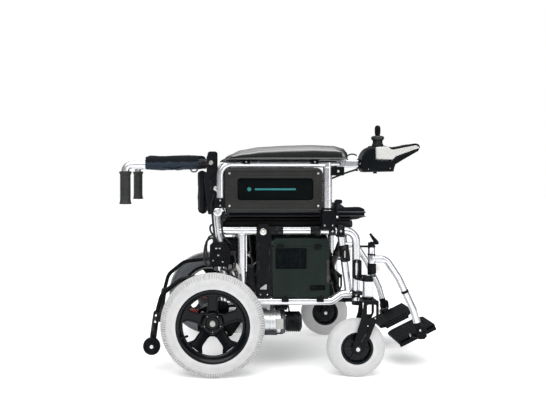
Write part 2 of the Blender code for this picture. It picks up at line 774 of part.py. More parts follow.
def footplate():
    """A sloping sole on a level hinge, so that it stands upright when it is flipped."""
    outline = [
        (-0.0655, 0.013),
        (-0.0655, 0.138),
        (-0.050, 0.152),
        (0.040, 0.152),
        (0.0655, 0.130),
        (0.0655, 0.013),
    ]
    pieces = [rounded(plate("sole", outline, -0.004, 0.006, "Z"), 0.002, 1)]
    for i in range(5):
        x = -0.048 + i * 0.021
        pieces.append(box("rib", (x, 0.030, 0.004), (x + 0.006, 0.132, 0.0085)))
    for piece in pieces:
        piece.data.transform(foot_frame())
    for side in (-1, 1):
        near, far = FOOT_HINGE + ALONG * side * 0.0115, FOOT_HINGE + ALONG * side * 0.0245
        pieces.append(rod("knuckle", near, far, 0.0075, 14))
        rise = side * math.tan(FOOT_TILT)
        low = (min(near.x, far.x), FOOT_HINGE.y, FOOT_HINGE.z + min(-0.006, rise * 0.0245))
        high = (max(near.x, far.x), FOOT_HINGE.y + 0.022, FOOT_HINGE.z + max(0.006, rise * 0.0245))
        pieces.append(box("lug", low, high))
    whole = joined("footplate", pieces)
    bore = rod("bore", FOOT_HINGE - ALONG * 0.05, FOOT_HINGE + ALONG * 0.05, 0.0042, 12)
    pair(cut(whole, [bore]), "footplate", "footplate", "black_plastic")


# ---------------------------------------------------------------- anti-tip wheels


def anti_tipper():
    y = -FRAME_Y
    route = [(0.020, 0.300), (-0.098, 0.288), (-0.158, 0.240), (-0.176, 0.170), (-0.187, 0.088)]
    path = bent([(x, y, z) for x, z in route], 0.05, 4)
    path[0] = Vector((cane_at(0.300) - FRAME_R - 0.0045, y, 0.3013))
    sleeve = [(x, y, z) for x, z in ((-0.1735, 0.185), (-0.1765, 0.168), (-0.1875, 0.088))]
    pieces = [
        tube("bar", path, 0.007, 2),
        tube("sleeve", sleeve, 0.0105, 3),
        rod("axle", (-0.188, y + 0.002, 0.083), (-0.188, -0.2455, 0.083), 0.0045, 12),
        rod("eye", (-0.188, y - 0.0085, 0.083), (-0.188, y + 0.0085, 0.083), 0.0125, 16),
    ]
    pair(joined("bar", pieces), "antitip_bar", "frame", "black_steel")
    roller = [(0.0052, -0.0095), (0.0105, -0.0095), (0.0105, -0.0075), (0.024, -0.0095)]
    roller += [(0.027, -0.0055), (0.027, 0.0055), (0.024, 0.0095)]
    roller += [(0.0105, 0.0075), (0.0105, 0.0095), (0.0052, 0.0095)]
    wheel = turned("roller", roller, (-0.188, -0.2335, 0.083), steps=16)
    pair(wheel, "antitip_wheel", "antitip_wheel", "rubber")


# ---------------------------------------------------------------- joystick


def nose_frame(along):
    """A frame on the keypad's slope: X along it, Z out of it, at this distance from its rear edge."""
    rear = Vector((0.5465, -ARM_Y, 0.697))
    lean = Matrix.Rotation(-NOSE_TILT, 4, "Y")
    return Matrix.Translation(rear) @ lean @ Matrix.Translation((along, 0, 0))


def joystick():
    y, half = -ARM_Y, 0.031
    base = [
        (0.4945, 0.7000),
        (0.4800, 0.7010),
        (0.4640, 0.6900),
        (0.4530, 0.6680),
        (0.4510, 0.6400),
        (0.4620, 0.6215),
        (0.5495, 0.6235),
        (0.5530, 0.6460),
        (0.5770, 0.6610),
        (0.6250, 0.6880),
        (0.6275, 0.6925),
        (0.4945, 0.6640),
    ]
    cover = [
        (0.4950, 0.6670),
        (0.6290, 0.6965),
        (0.6300, 0.7030),
        (0.6170, 0.7107),
        (0.5465, 0.6970),
        (0.5330, 0.7015),
        (0.4950, 0.7005),
    ]
    well = ((STICK.x, y, 0.6775), (STICK.x, y, 0.73), 0.0260, 24)
    shell = rounded(plate("joystick_base", base, y - half, y + half), 0.003, 2)
    socket = box("bracket_socket", (0.44, y - 0.0104, 0.6366), (0.4615, y + 0.0104, 0.6594))
    hung(cut(shell, [rod("well", *well), socket]), "armrest_right", "black_plastic")
    shell = rounded(plate("joystick_cover", cover, y - half, y + half), 0.003, 2)
    cutters = [rod("well", *well)]
    for across in (-0.014, 0.014):
        hole = rod("pocket", (0, across, -0.006), (0, across, 0.01), 0.0058, 14)
        hole.data.transform(nose_frame(0.014))
        cutters.append(hole)
    slot = box("rocker_slot", (0.034, -0.0165, -0.008), (0.052, 0.0165, 0.01))
    slot.data.transform(nose_frame(0))
    cutters.append(slot)
    hung(cut(shell, cutters), "armrest_right", "light_plastic")

    ring = [(0.0213, -0.0035), (0.0213, 0.0035), (0.0246, 0.0035), (0.0246, -0.0035)]
    hung(turned("joystick_gimbal", ring[::-1], STICK, "Z", 20), "stick_gimbal", "black_steel")
    dome = []
    dome_r, floor = 0.0206, -0.010
    for i in range(7):
        rise = math.radians(-29 + i * 19)
        dome.append((dome_r * math.cos(rise), dome_r * math.sin(rise)))
    stalk = [(0.0060, 0.0200), (0.0048, 0.028), (0.0050, 0.036), (0.0085, 0.042)]
    knob = [(0.0090, 0.056), (0.0082, 0.066), (0.0050, 0.0705), (0.0, 0.0715)]
    profile = [(0.0, floor), *dome, *stalk, *knob]
    hung(turned("joystick_stick", profile[::-1], STICK, "Z", 16), "stick", "black_plastic")
    for name, across in (("power_button", -0.014), ("horn_button", 0.014)):
        button = rod(name, (0, across, -0.0036), (0, across, 0.0014), 0.0052, 14)
        button.data.transform(nose_frame(0.014))
        hung(button, name, "grey_plastic")
    rocker = box("rocker", (0.0352, -0.0155, -0.0040), (0.0508, 0.0155, 0.0016), 0.0008, 1)
    rocker.data.transform(nose_frame(0))
    rocker.name = "speed_rocker"
    hung(rocker, "speed_rocker", "grey_plastic")


def joystick_cable():
    """The lead, clipped to the armrest as far as its pivot and to the frame below it."""
    upper = [
        (0.4508, -0.2365, 0.6310),
        (0.4380, -0.2340, 0.6280),
        (0.4080, -0.2320, 0.6180),
        (0.3540, -0.2330, 0.5980),
        (0.2900, -0.2370, 0.5860),
        (0.1600, -0.2370, 0.5500),
        (0.0700, -0.2350, 0.5150),
        (0.0420, -0.2345, 0.5050),
    ]
    hung(tube("joystick_cable_upper", curved(upper, 4), 0.003, 2), "armrest_right", "rubber")
    lower = [
        (0.0380, -0.2340, 0.5020),
        (0.0300, -0.2330, 0.4700),
        (0.0330, -0.2325, 0.4300),
        (0.0480, -0.2310, 0.4080),
        (0.0560, -0.2180, 0.4000),
        (0.0580, -0.1968, 0.3850),
    ]
    hung(tube("joystick_cable_lower", curved(lower, 3), 0.003, 2), "frame_right", "rubber")


def curved(points, steps):
    """Points along a Catmull-Rom curve through the given ones."""
    points = [Vector(p) for p in points]
    ends = [points[0] * 2 - points[1], *points, points[-1] * 2 - points[-2]]
    path = []
    for a, b, c, d in zip(ends, ends[1:], ends[2:], ends[3:]):
        for i in range(steps):
            t = i / steps
            path.append(
                0.5
                * (
                    2 * b
                    + (c - a) * t
                    + (2 * a - 5 * b + 4 * c - d) * t**2
                    + (3 * b - a - 3 * c + d) * t**3
                )
            )
    return [*path, points[-1]]


# ---------------------------------------------------------------- bodies


def make_bodies():
    body_pair("frame", Vector((0, -BRACE_Y, BRACE_LOW_Z)))
    body("brace_a", (0, -BRACE_Y, BRACE_LOW_Z))
    body("brace_b", (0, 0, PIVOT_Z))
    body_pair("wheel", Vector((0, -WHEEL_Y, WHEEL_R)))
    body_pair("caster_fork", Vector((STEM_X, -CASTER_Y, 0.2)))
    body_pair("caster_wheel", Vector((CASTER_AXLE_X, -CASTER_Y, CASTER_R)))
    body_pair("antitip_wheel", Vector((-0.188, -0.2335, 0.083)))
    body_pair("clutch", Vector((0, -0.147, WHEEL_R + 0.012)))
    body_pair("back", BACK_HINGE)
    body_pair("armrest", ARM_PIVOT)
    body_pair("armrest_latch", LATCH)
    body_pair("hanger", Vector((HANGER_X, -HANGER_Y, HANGER_LOW)))
    body_pair("legrest_latch", Vector((HANGER_X, -HANGER_Y, HANGER_HIGH + 0.005)))
    body_pair("footplate", FOOT_HINGE)
    body("stick_gimbal", STICK)
    body("stick", STICK)
    body("power_button", nose_frame(0.014) @ Vector((0, -0.014, 0)))
    body("horn_button", nose_frame(0.014) @ Vector((0, 0.014, 0)))
    body("speed_rocker", nose_frame(0.043) @ Vector((0, 0, -0.003)))


def main():
    make_bodies()
    rear_wheel()
    caster()
    side_frame()
    cross_frame()
    drive_unit()
    battery()
    power_module()
    back()
    seat()
    armrest_frame()
    armrest_cover()
    armrest_latch()
    hanger()
    footplate()
    anti_tipper()
    joystick()
    joystick_cable()
    WHEELCHAIR.location.x = REAR_AXLE_X


main()
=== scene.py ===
"""Looks of the folding power wheelchair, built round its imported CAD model.

Pieces are drawn in millimetres, with X measured from the rear axle, Y to the rider's left and Z up,
and finished() scales them to metres and moves them to where the CAD model has that axle. Right-hand
pieces are made first and the left ones are their mirror images. Lamps, camera and materials are in
metres.
"""

import json
import random
from math import copysign, cos, pi, radians, sin, tan

import bmesh
import bpy
from mathutils import Matrix, Vector, noise

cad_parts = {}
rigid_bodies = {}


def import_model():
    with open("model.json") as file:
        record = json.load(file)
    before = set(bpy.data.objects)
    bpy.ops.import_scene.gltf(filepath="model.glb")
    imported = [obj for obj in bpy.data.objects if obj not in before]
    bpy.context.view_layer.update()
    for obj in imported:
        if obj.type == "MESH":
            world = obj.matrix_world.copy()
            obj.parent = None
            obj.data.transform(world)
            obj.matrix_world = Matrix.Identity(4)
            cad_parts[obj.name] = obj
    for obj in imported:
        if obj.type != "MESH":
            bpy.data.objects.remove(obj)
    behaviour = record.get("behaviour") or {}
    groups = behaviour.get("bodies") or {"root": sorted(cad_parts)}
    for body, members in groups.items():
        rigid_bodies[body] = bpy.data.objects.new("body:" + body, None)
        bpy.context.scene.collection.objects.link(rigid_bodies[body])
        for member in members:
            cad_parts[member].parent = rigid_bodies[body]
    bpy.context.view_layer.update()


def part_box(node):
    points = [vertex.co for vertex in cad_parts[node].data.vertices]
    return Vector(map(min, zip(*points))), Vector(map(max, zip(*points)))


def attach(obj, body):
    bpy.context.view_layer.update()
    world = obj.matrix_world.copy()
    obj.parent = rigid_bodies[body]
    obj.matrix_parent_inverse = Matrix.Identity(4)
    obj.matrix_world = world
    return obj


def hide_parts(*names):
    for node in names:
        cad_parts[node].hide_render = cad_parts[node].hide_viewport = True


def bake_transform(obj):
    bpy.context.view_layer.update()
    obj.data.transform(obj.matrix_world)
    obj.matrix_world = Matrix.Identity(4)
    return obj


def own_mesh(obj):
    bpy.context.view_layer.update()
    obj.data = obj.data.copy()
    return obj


for old in list(bpy.data.objects):
    bpy.data.objects.remove(old, do_unlink=True)
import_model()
tyre_low, tyre_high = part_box("tyre_right")
AXLE_X = (tyre_low.x + tyre_high.x) / 2
SCENE = bpy.context.scene
UP = Vector((0, 0, 1))
ALONG = Vector((1, 0, 0))
OUT = Vector((0, -1, 0))  # away from the chair on the right side
MM = 0.001

bm = bmesh.new()  # the piece being drawn: finished() makes it an object and empties this

# The same places as in the CAD model
WHEEL = Vector((0, -283, 159))
CASTER = Vector((437, -268, 89))
STEM_X = 474
FRAME_Y, FRAME_R = -213, 12.5
TOP_Z, LOW_Z, FRONT_Z = 439, 219.5, 241.5
POST_X = 451
ARM_Y = -252
ARM_POST_X = 354
PAD_Y = -257
ARM_PIVOT = Vector((16, ARM_Y, 500))
LATCH = Vector((380, ARM_Y, 486))
BACK_HINGE = Vector((-4, FRAME_Y, 652))
GRIP_X = -272
HANGER_X, HANGER_Y = 500, -208
FOOT_HINGE = Vector((653.5, -188, 105.5))
FOOT_TILT = radians(26.7)
BRACE_Y, BRACE_LOW, BRACE_HIGH = 188, 219.5, 459
PIVOT_Z = (BRACE_LOW + BRACE_HIGH) / 2
STICK = Vector((508, ARM_Y, 695))
NOSE_TILT = radians(11)
TIP_WHEEL = Vector((-188, -233.5, 83))


def linked(name, data):
    thing = bpy.data.objects.new(name, data)
    SCENE.collection.objects.link(thing)
    return thing


# ---------------------------------------------------------------- mesh helpers


def skin(rings, wrap=False, cap=True):
    count = len(rings[0])
    pairs = list(zip(rings, rings[1:]))
    if wrap:
        pairs.append((rings[-1], rings[0]))
    for a, b in pairs:
        for i in range(count):
            j = (i + 1) % count
            bm.faces.new((a[i], a[j], b[j], b[i]))
    if cap and not wrap:
        bm.faces.new(rings[0][::-1])
        bm.faces.new(rings[-1])


def fillet(points, radius, steps=5, closed=False):
    """The points with each corner replaced by an arc; radius is one number or one for each corner."""
    points = [Vector(p).to_3d() for p in points]
    count = len(points)
    path = []
    for i, corner in enumerate(points):
        r = radius[i] if hasattr(radius, "__len__") else radius
        if r <= 0 or (not closed and i in (0, count - 1)):
            path.append(corner)
            continue
        back = (points[i - 1] - corner).normalized()
        ahead = (points[(i + 1) % count] - corner).normalized()
        half = back.angle(ahead) / 2
        if half > pi / 2 - 0.01:
            path.append(corner)
            continue
        centre = corner + (back + ahead).normalized() * (r / sin(half))
        start = corner + back * (r / tan(half)) - centre
        end = corner + ahead * (r / tan(half)) - centre
        for step in range(steps + 1):
            path.append(centre + r * start.slerp(end, step / steps).normalized())
    return path


def flat(points, radius=0, steps=5):
    return [p.xy for p in fillet([(x, z, 0) for x, z in points], radius, steps, closed=True)]


def rect(a, b, radius=0, steps=5):
    return flat([(a[0], a[1]), (b[0], a[1]), (b[0], b[1]), (a[0], b[1])], radius, steps)


def spline(points, steps=6):
    """Points along a Catmull-Rom curve through the given ones."""
    points = [Vector(p) for p in points]
    ends = [points[0] * 2 - points[1], *points, points[-1] * 2 - points[-2]]
    path = []
    for a, b, c, d in zip(ends, ends[1:], ends[2:], ends[3:]):
        for i in range(steps):
            t = i / steps
            path.append(
                0.5 * (
                    2 * b + (c - a) * t + (
                        2 * a - 5 * b + 4 * c - d
                    ) * t**2 + (3 * b - a - 3 * c + d) * t**3
                )
            )
    return [*path, points[-1]]


def sweep(path, radius, sides=20, squash=1, wrap=False, first=None):
    """A round bar along the path; radius may be one number or one for each point."""
    path = [Vector(p) for p in path]
    radii = radius if hasattr(radius, "__len__") else [radius] * len(path)
    steps = [(b - a).normalized() for a, b in zip(path, path[1:])]
    last = (path[0] - path[-1]).normalized() if wrap else steps[-1]
    before = [last if wrap else steps[0], *steps]
    after = [*steps, last]
    tangents = [(a + b).normalized() for a, b in zip(before, after)]
    side = Vector(first) if first else tangents[0].orthogonal()
    rings = []
    for i, (point, tangent, r) in enumerate(zip(path, tangents, radii)):
        if i:
            side = tangents[i - 1].rotation_difference(tangent) @ side
        side = (side - tangent * side.dot(tangent)).normalized()
        up = tangent.cross(side)
        ring = []
        for k in range(sides):
            a = 2 * pi * k / sides
            ring.append(bm.verts.new(point + side * (r * cos(a)) + up * (r * squash * sin(a))))
        rings.append(ring)
    skin(rings, wrap)


def bar(start, end, radius, sides=24, edge=0.6):
    """A straight round bar with its end edges rounded."""
    start, end = Vector(start), Vector(end)
    length = (end - start).length
    edge = min(edge, radius * 0.4, length * 0.3)
    profile = [
        (0, 0), (radius - edge, 0), (radius, edge), (radius, length - edge), (radius - edge, length),
        (0, length),
    ]
    lathe(profile, facing(start, end - start), steps=sides)


def facing(at, direction):
    """A frame at this point whose Z runs along the direction."""
    return Matrix.Translation(at) @ Vector(direction).to_track_quat("Z", "Y").to_matrix().to_4x4()


TURNED = {"X": Matrix.Rotation(pi / 2, 4, "Y"), "Y": Matrix.Rotation(-pi / 2, 4, "X"), "Z": Matrix()}


def on_axis(at, axis="Y"):
    return Matrix.Translation(at) @ TURNED[axis]


def lathe(profile, place, steps=48, shape=None):
    """A solid of revolution about the place's Z; the profile is a closed loop of (radius, along)."""
    rings = []
    for step in range(steps):
        a = 2 * pi * step / steps
        ring = []
        for radius, along in profile:
            if shape:
                radius, along = shape(a, radius, along)
            ring.append(bm.verts.new(place @ Vector((radius * cos(a), radius * sin(a), along))))
        rings.append(ring)
    skin(rings, wrap=True)
    if min(radius for radius, along in profile) < 1e-3:
        bmesh.ops.remove_doubles(bm, verts=[v for ring in rings for v in ring], dist=1e-3)


def merge_mesh(mesh, place=None):
    if place is not None:
        mesh.transform(place)
    bm.from_mesh(mesh)
    bpy.data.meshes.remove(mesh)


def block(low, high, edge=1, segments=2, place=None):
    """A box with rounded edges."""
    low, high = Vector(low), Vector(high)
    part = bmesh.new()
    bmesh.ops.create_cube(part, size=1)
    bmesh.ops.scale(part, vec=high - low, verts=part.verts)
    bmesh.ops.translate(part, vec=(low + high) / 2, verts=part.verts)
    edge = min(edge, min(high - low) * 0.45)
    bmesh.ops.bevel(part, geom=part.edges[:], offset=edge, segments=segments, profile=0.5, affect="EDGES")
    mesh = bpy.data.meshes.new("block")
    part.to_mesh(mesh)
    part.free()
    merge_mesh(mesh, place)


PLANES = {
    "X": Matrix(((0, 0, 1, 0), (1, 0, 0, 0), (0, 1, 0, 0), (0, 0, 0, 1))),
    "Y": Matrix(((1, 0, 0, 0), (0, 0, -1, 0), (0, 1, 0, 0), (0, 0, 0, 1))),
    "Z": Matrix(),
}


def slab(outlines, low, high, normal="Y", edge=0.8, place=None):
    """A plate between low and high along its normal; the first outline is its edge, the others are holes."""
    curve = bpy.data.curves.new("slab", "CURVE")
    curve.dimensions, curve.fill_mode = "2D", "BOTH"
    edge = min(edge, (high - low) * 0.45)
    curve.extrude = (high - low) / 2 - edge
    curve.bevel_depth, curve.bevel_resolution, curve.offset = edge, 2, -edge
    for outline in outlines if hasattr(outlines[0][0], "__len__") else [outlines]:
        loop = curve.splines.new("POLY")
        loop.points.add(len(outline) - 1)
        for target, point in zip(loop.points, outline):
            target.co = (point[0], point[1], 0, 1)
        loop.use_cyclic_u = True
    piece = linked("slab", curve)
    bpy.context.view_layer.update()
    mesh = bpy.data.meshes.new_from_object(piece.evaluated_get(bpy.context.evaluated_depsgraph_get()))
    bpy.data.objects.remove(piece, do_unlink=True)
    bpy.data.curves.remove(curve)
    shift = {"X": ALONG, "Y": -OUT, "Z": UP}[normal] * (low + high) / 2
    mesh.transform(Matrix.Translation(shift) @ PLANES[normal])
    merge_mesh(mesh, place)


def hexagon(at, direction, radius, height):
    """A hexagon nut or bolt head with its corners chamfered."""
    place = facing(at, direction)
    rings = []
    for r, z in ((radius, 0), (radius, height * 0.75), (radius * 0.86, height)):
        turn = [radians(60 * k + 15) for k in range(6)]
        rings.append([bm.verts.new(place @ Vector((r * cos(a), r * sin(a), z))) for a in turn])
    skin(rings)


def bolt(at, direction, radius=5, height=3.5, washer=True):
    at, direction = Vector(at), Vector(direction).normalized()
    if washer:
        bar(at, at + direction * 1.2, radius * 1.45, 20, 0.3)
        at = at + direction * 1.2
    hexagon(at, direction, radius, height)
    bar(at + direction * height * 0.5, at + direction * (height + 1.2), radius * 0.5, 12, 0.4)


def screw(at, direction, radius=4):
    """A dished button head with a hexagon socket sunk in it."""
    r = radius
    profile = [
        (0, 0), (r, 0), (r, 0.6), (r * 0.9, 1.8), (r * 0.6, 2.6), (r * 0.45, 2.6), (r * 0.42, 0.8),
        (0, 0.6),
    ]
    lathe(profile, facing(at, direction), steps=18)


def bead(at, direction, radius, width=2.2):
    """A weld bead round a tube."""
    rng = random.Random(round(10 * (at[0] + 3 * at[2])))
    swell = [1 + 0.25 * rng.random() for _ in range(24)]
    place = facing(at, direction)
    rings = []
    for k in range(24):
        a, w = 2 * pi * k / 24, width * swell[k]
        centre = Vector((radius * cos(a), radius * sin(a), 0))
        out = centre.normalized()
        ring = [
            place @ (centre + out * (w * cos(t)) + UP * (w * sin(t)))
            for t in (i * pi / 3 for i in range(6))
        ]
        rings.append([bm.verts.new(p) for p in ring])
    skin(rings, wrap=True)


# ---------------------------------------------------------------- pieces


def finished(name, sharp=35, even=True):
    bmesh.ops.recalc_face_normals(bm, faces=bm.faces)
    in_place = Matrix.Translation((AXLE_X, 0, 0)) @ Matrix.Scale(MM, 4)
    bmesh.ops.transform(bm, matrix=in_place, verts=bm.verts)
    mesh = bpy.data.meshes.new(name)
    bm.to_mesh(mesh)
    bm.clear()
    piece = linked(name, mesh)
    mesh.shade_smooth()
    mesh.set_sharp_from_angle(angle=radians(sharp))
    if even:
        weights = piece.modifiers.new("even_shading", "WEIGHTED_NORMAL")
        weights.keep_sharp = True
    return piece


def dress(piece, body, look, stands=()):
    piece.data.materials.clear()
    piece.data.materials.append(LOOKS[look])
    if body:
        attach(piece, body)
    if stands:
        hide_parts(*stands)
    return piece


def put(name, body, slot, look, stands=(), **how):
    return dress(finished(name, **how), body, look, stands)


def pair(name, body, slot, look, stands=(), **how):
    """Puts a right-hand piece and its mirror image on the left; body and CAD names lack their side."""
    right = finished(f"{name}_right", **how)
    mesh = right.data.copy()
    mesh.transform(Matrix.Scale(-1, 4, (0, 1, 0)))
    mesh.flip_normals()
    left = linked(f"{name}_left", mesh)
    mesh.set_sharp_from_angle(angle=radians(how.get("sharp", 35)))
    if how.get("even", True):
        left.modifiers.new("even_shading", "WEIGHTED_NORMAL").keep_sharp = True
    for piece, side in ((right, "right"), (left, "left")):
        dress(piece, f"{body}_{side}", look, [f"{node}_{side}" for node in stands])
    return right, left


# ---------------------------------------------------------------- materials

LOOKS = {}


class Nodes:
    """A short way to write a material's nodes."""

    def __init__(self, name, colour, rough, metal=0.0, **fixed):
        self.material = bpy.data.materials.new(name)
        self.material.use_nodes = True
        self.tree = self.material.node_tree
        self.shader = self.tree.nodes["Principled BSDF"]
        self.shader.inputs["Base Color"].default_value = (*colour, 1)
        self.shader.inputs["Roughness"].default_value = rough
        self.shader.inputs["Metallic"].default_value = metal
        for key, value in fixed.items():
            socket = "Specular IOR Level" if key == "specular" else key.replace("_", " ")
            self.shader.inputs[socket].default_value = value
        self.place = self.add("ShaderNodeTexCoord").outputs["Object"]
        LOOKS[name] = self.material

    def add(self, kind, links=None, **settings):
        node = self.tree.nodes.new(kind)
        for key, value in settings.items():
            setattr(node, key, value)
        for key, value in (links or {}).items():
            if isinstance(value, bpy.types.NodeSocket):
                self.tree.links.new(value, node.inputs[key])
            else:
                node.inputs[key].default_value = value
        return node

    def noise(self, scale, detail=3.0, rough=0.55):
        links = {"Vector": self.place, "Scale": scale, "Detail": detail, "Roughness": rough}
        return self.add("ShaderNodeTexNoise", links).outputs["Fac"]

    def cells(self, scale):
        links = {"Vector": self.place, "Scale": scale}
        return self.add("ShaderNodeTexVoronoi", links, feature="DISTANCE_TO_EDGE").outputs["Distance"]

    def wave(self, scale, direction, distort=0.0):
        links = {"Vector": self.place, "Scale": scale, "Distortion": distort}
        return self.add("ShaderNodeTexWave", links, bands_direction=direction).outputs["Fac"]

    def math(self, operation, a, b=0.5):
        return self.add("ShaderNodeMath", {0: a, 1: b}, operation=operation).outputs[0]

    def times(self, a, b):
        return self.math("MULTIPLY", a, b)

    def ramp(self, value, low, high, a=0.0, b=1.0):
        links = {"Value": value, "From Min": low, "From Max": high, "To Min": a, "To Max": b}
        return self.add("ShaderNodeMapRange", links, clamp=True).outputs["Result"]

    def mix(self, share, a, b):
        node = self.add("ShaderNodeMix", data_type="RGBA")
        for socket, value in ((node.inputs["Factor"], share), (node.inputs[6], a), (node.inputs[7], b)):
            if isinstance(value, bpy.types.NodeSocket):
                self.tree.links.new(value, socket)
            elif hasattr(value, "__len__"):
                socket.default_value = (*value, 1)
            else:
                socket.default_value = value
        return node.outputs[2]

    def edges(self, low=0.52, high=0.6):
        """How far a point is on an outer edge, which is where a finish wears."""
        pointed = self.add("ShaderNodeNewGeometry").outputs["Pointiness"]
        return self.ramp(pointed, low, high)

    def radius_from_axle(self):
        """Distance from the drive wheels' axle, from the object's own coordinates."""
        shifted = self.add(
            "ShaderNodeVectorMath", {0: self.place, 1: (-AXLE_X, 0, -WHEEL.z * MM)}, operation="ADD",
        ).outputs[0]
        level = self.add(
            "ShaderNodeVectorMath", {0: shifted, 1: (1, 0, 1)}, operation="MULTIPLY",
        ).outputs[0]
        return self.add("ShaderNodeVectorMath", {0: level}, operation="LENGTH").outputs["Value"]

    def set(self, socket, value):
        self.tree.links.new(value, self.shader.inputs[socket])

    def bump(self, *heights):
        """Bumps on each other, coarse first, each one as (height, strength, distance)."""
        normal = None
        for height, strength, distance in heights:
            links = {"Height": height, "Strength": strength, "Distance": distance}
            if normal is not None:
                links["Normal"] = normal
            normal = self.add("ShaderNodeBump", links).outputs["Normal"]
        self.set("Normal", normal)


def tinted(colour, share):
    return tuple(min(1.0, c * share) for c in colour)


def painted(name, colour, rough, metal, grain, worn, wear_share=0.7, **fixed):
    """A painted or plated metal: orange peel, soft colour drift, and bare metal on worn edges."""
    n = Nodes(name, colour, rough, metal, **fixed)
    drift = n.noise(9.0, 4.0)
    base = n.mix(drift, tinted(colour, 0.93), tinted(colour, 1.06))
    rubbed = n.times(n.edges(), n.ramp(n.noise(60.0, 5.0, 0.7), 0.48, 0.62))
    rubbed = n.times(rubbed, wear_share)
    n.set("Base Color", n.mix(rubbed, base, worn))
    n.set("Roughness", n.ramp(n.noise(34.0, 6.0, 0.7), 0.3, 0.7, rough - 0.06, rough + 0.08))
    n.bump((n.noise(900.0, 2.0), grain, 0.0004), (n.noise(70.0, 3.0), grain, 0.0005))


def moulded(name, colour, rough, grain=0.25, scale=1400.0, dust=0.12, **fixed):
    """A moulded plastic: spark-eroded grain, scuffed lighter on its edges, dust in soft patches."""
    n = Nodes(name, colour, rough, 0.0, **fixed)
    base = n.mix(n.noise(14.0, 4.0), tinted(colour, 0.85), tinted(colour, 1.2))
    lighter = tuple(min(1.0, c * 1.8 + 0.012) for c in colour)
    scuff = n.times(n.edges(0.53, 0.62), n.ramp(n.noise(90.0, 6.0, 0.75), 0.45, 0.65))
    base = n.mix(n.times(scuff, 0.5), base, lighter)
    haze = n.times(n.ramp(n.noise(26.0, 7.0, 0.7), 0.5, 0.75), dust)
    n.set("Base Color", n.mix(haze, base, (0.26, 0.26, 0.25)))
    n.set("Roughness", n.ramp(n.noise(40.0, 5.0, 0.7), 0.3, 0.7, max(0.05, rough - 0.08), rough + 0.1))
    n.bump((n.cells(scale), grain, 0.0003), (n.noise(scale * 1.7, 2.0), grain, 0.0002))


def woven(name, colour, thread, pitch, turned=False, **fixed):
    """A plain weave: warp and weft cross over each other every pitch metres."""
    n = Nodes(name, colour, 0.75, 0.0, **fixed)
    turns = pi / pitch / 10  # a wave texture has one band in about pi / (10 * scale)
    first, second = ("Z", "Y") if turned else ("X", "Y")
    warp, weft = n.wave(turns, first, 0.6), n.wave(turns, second, 0.6)
    cross = n.math("MAXIMUM", n.times(warp, 1.0), n.times(weft, 0.9))
    shade = n.mix(n.noise(18.0, 5.0), tinted(colour, 0.8), tinted(colour, 1.25))
    shade = n.mix(n.times(cross, 0.35), shade, thread)
    fluff = n.times(n.ramp(n.noise(45.0, 8.0, 0.8), 0.55, 0.8), 0.15)
    n.set("Base Color", n.mix(fluff, shade, (0.06, 0.06, 0.06)))
    n.set("Roughness", n.ramp(cross, 0.2, 1.0, 0.85, 0.6))
    n.bump((n.noise(22.0, 4.0), 0.35, 0.003), (cross, 0.6, 0.0006), (n.noise(2200.0, 2.0), 0.3, 0.0003))


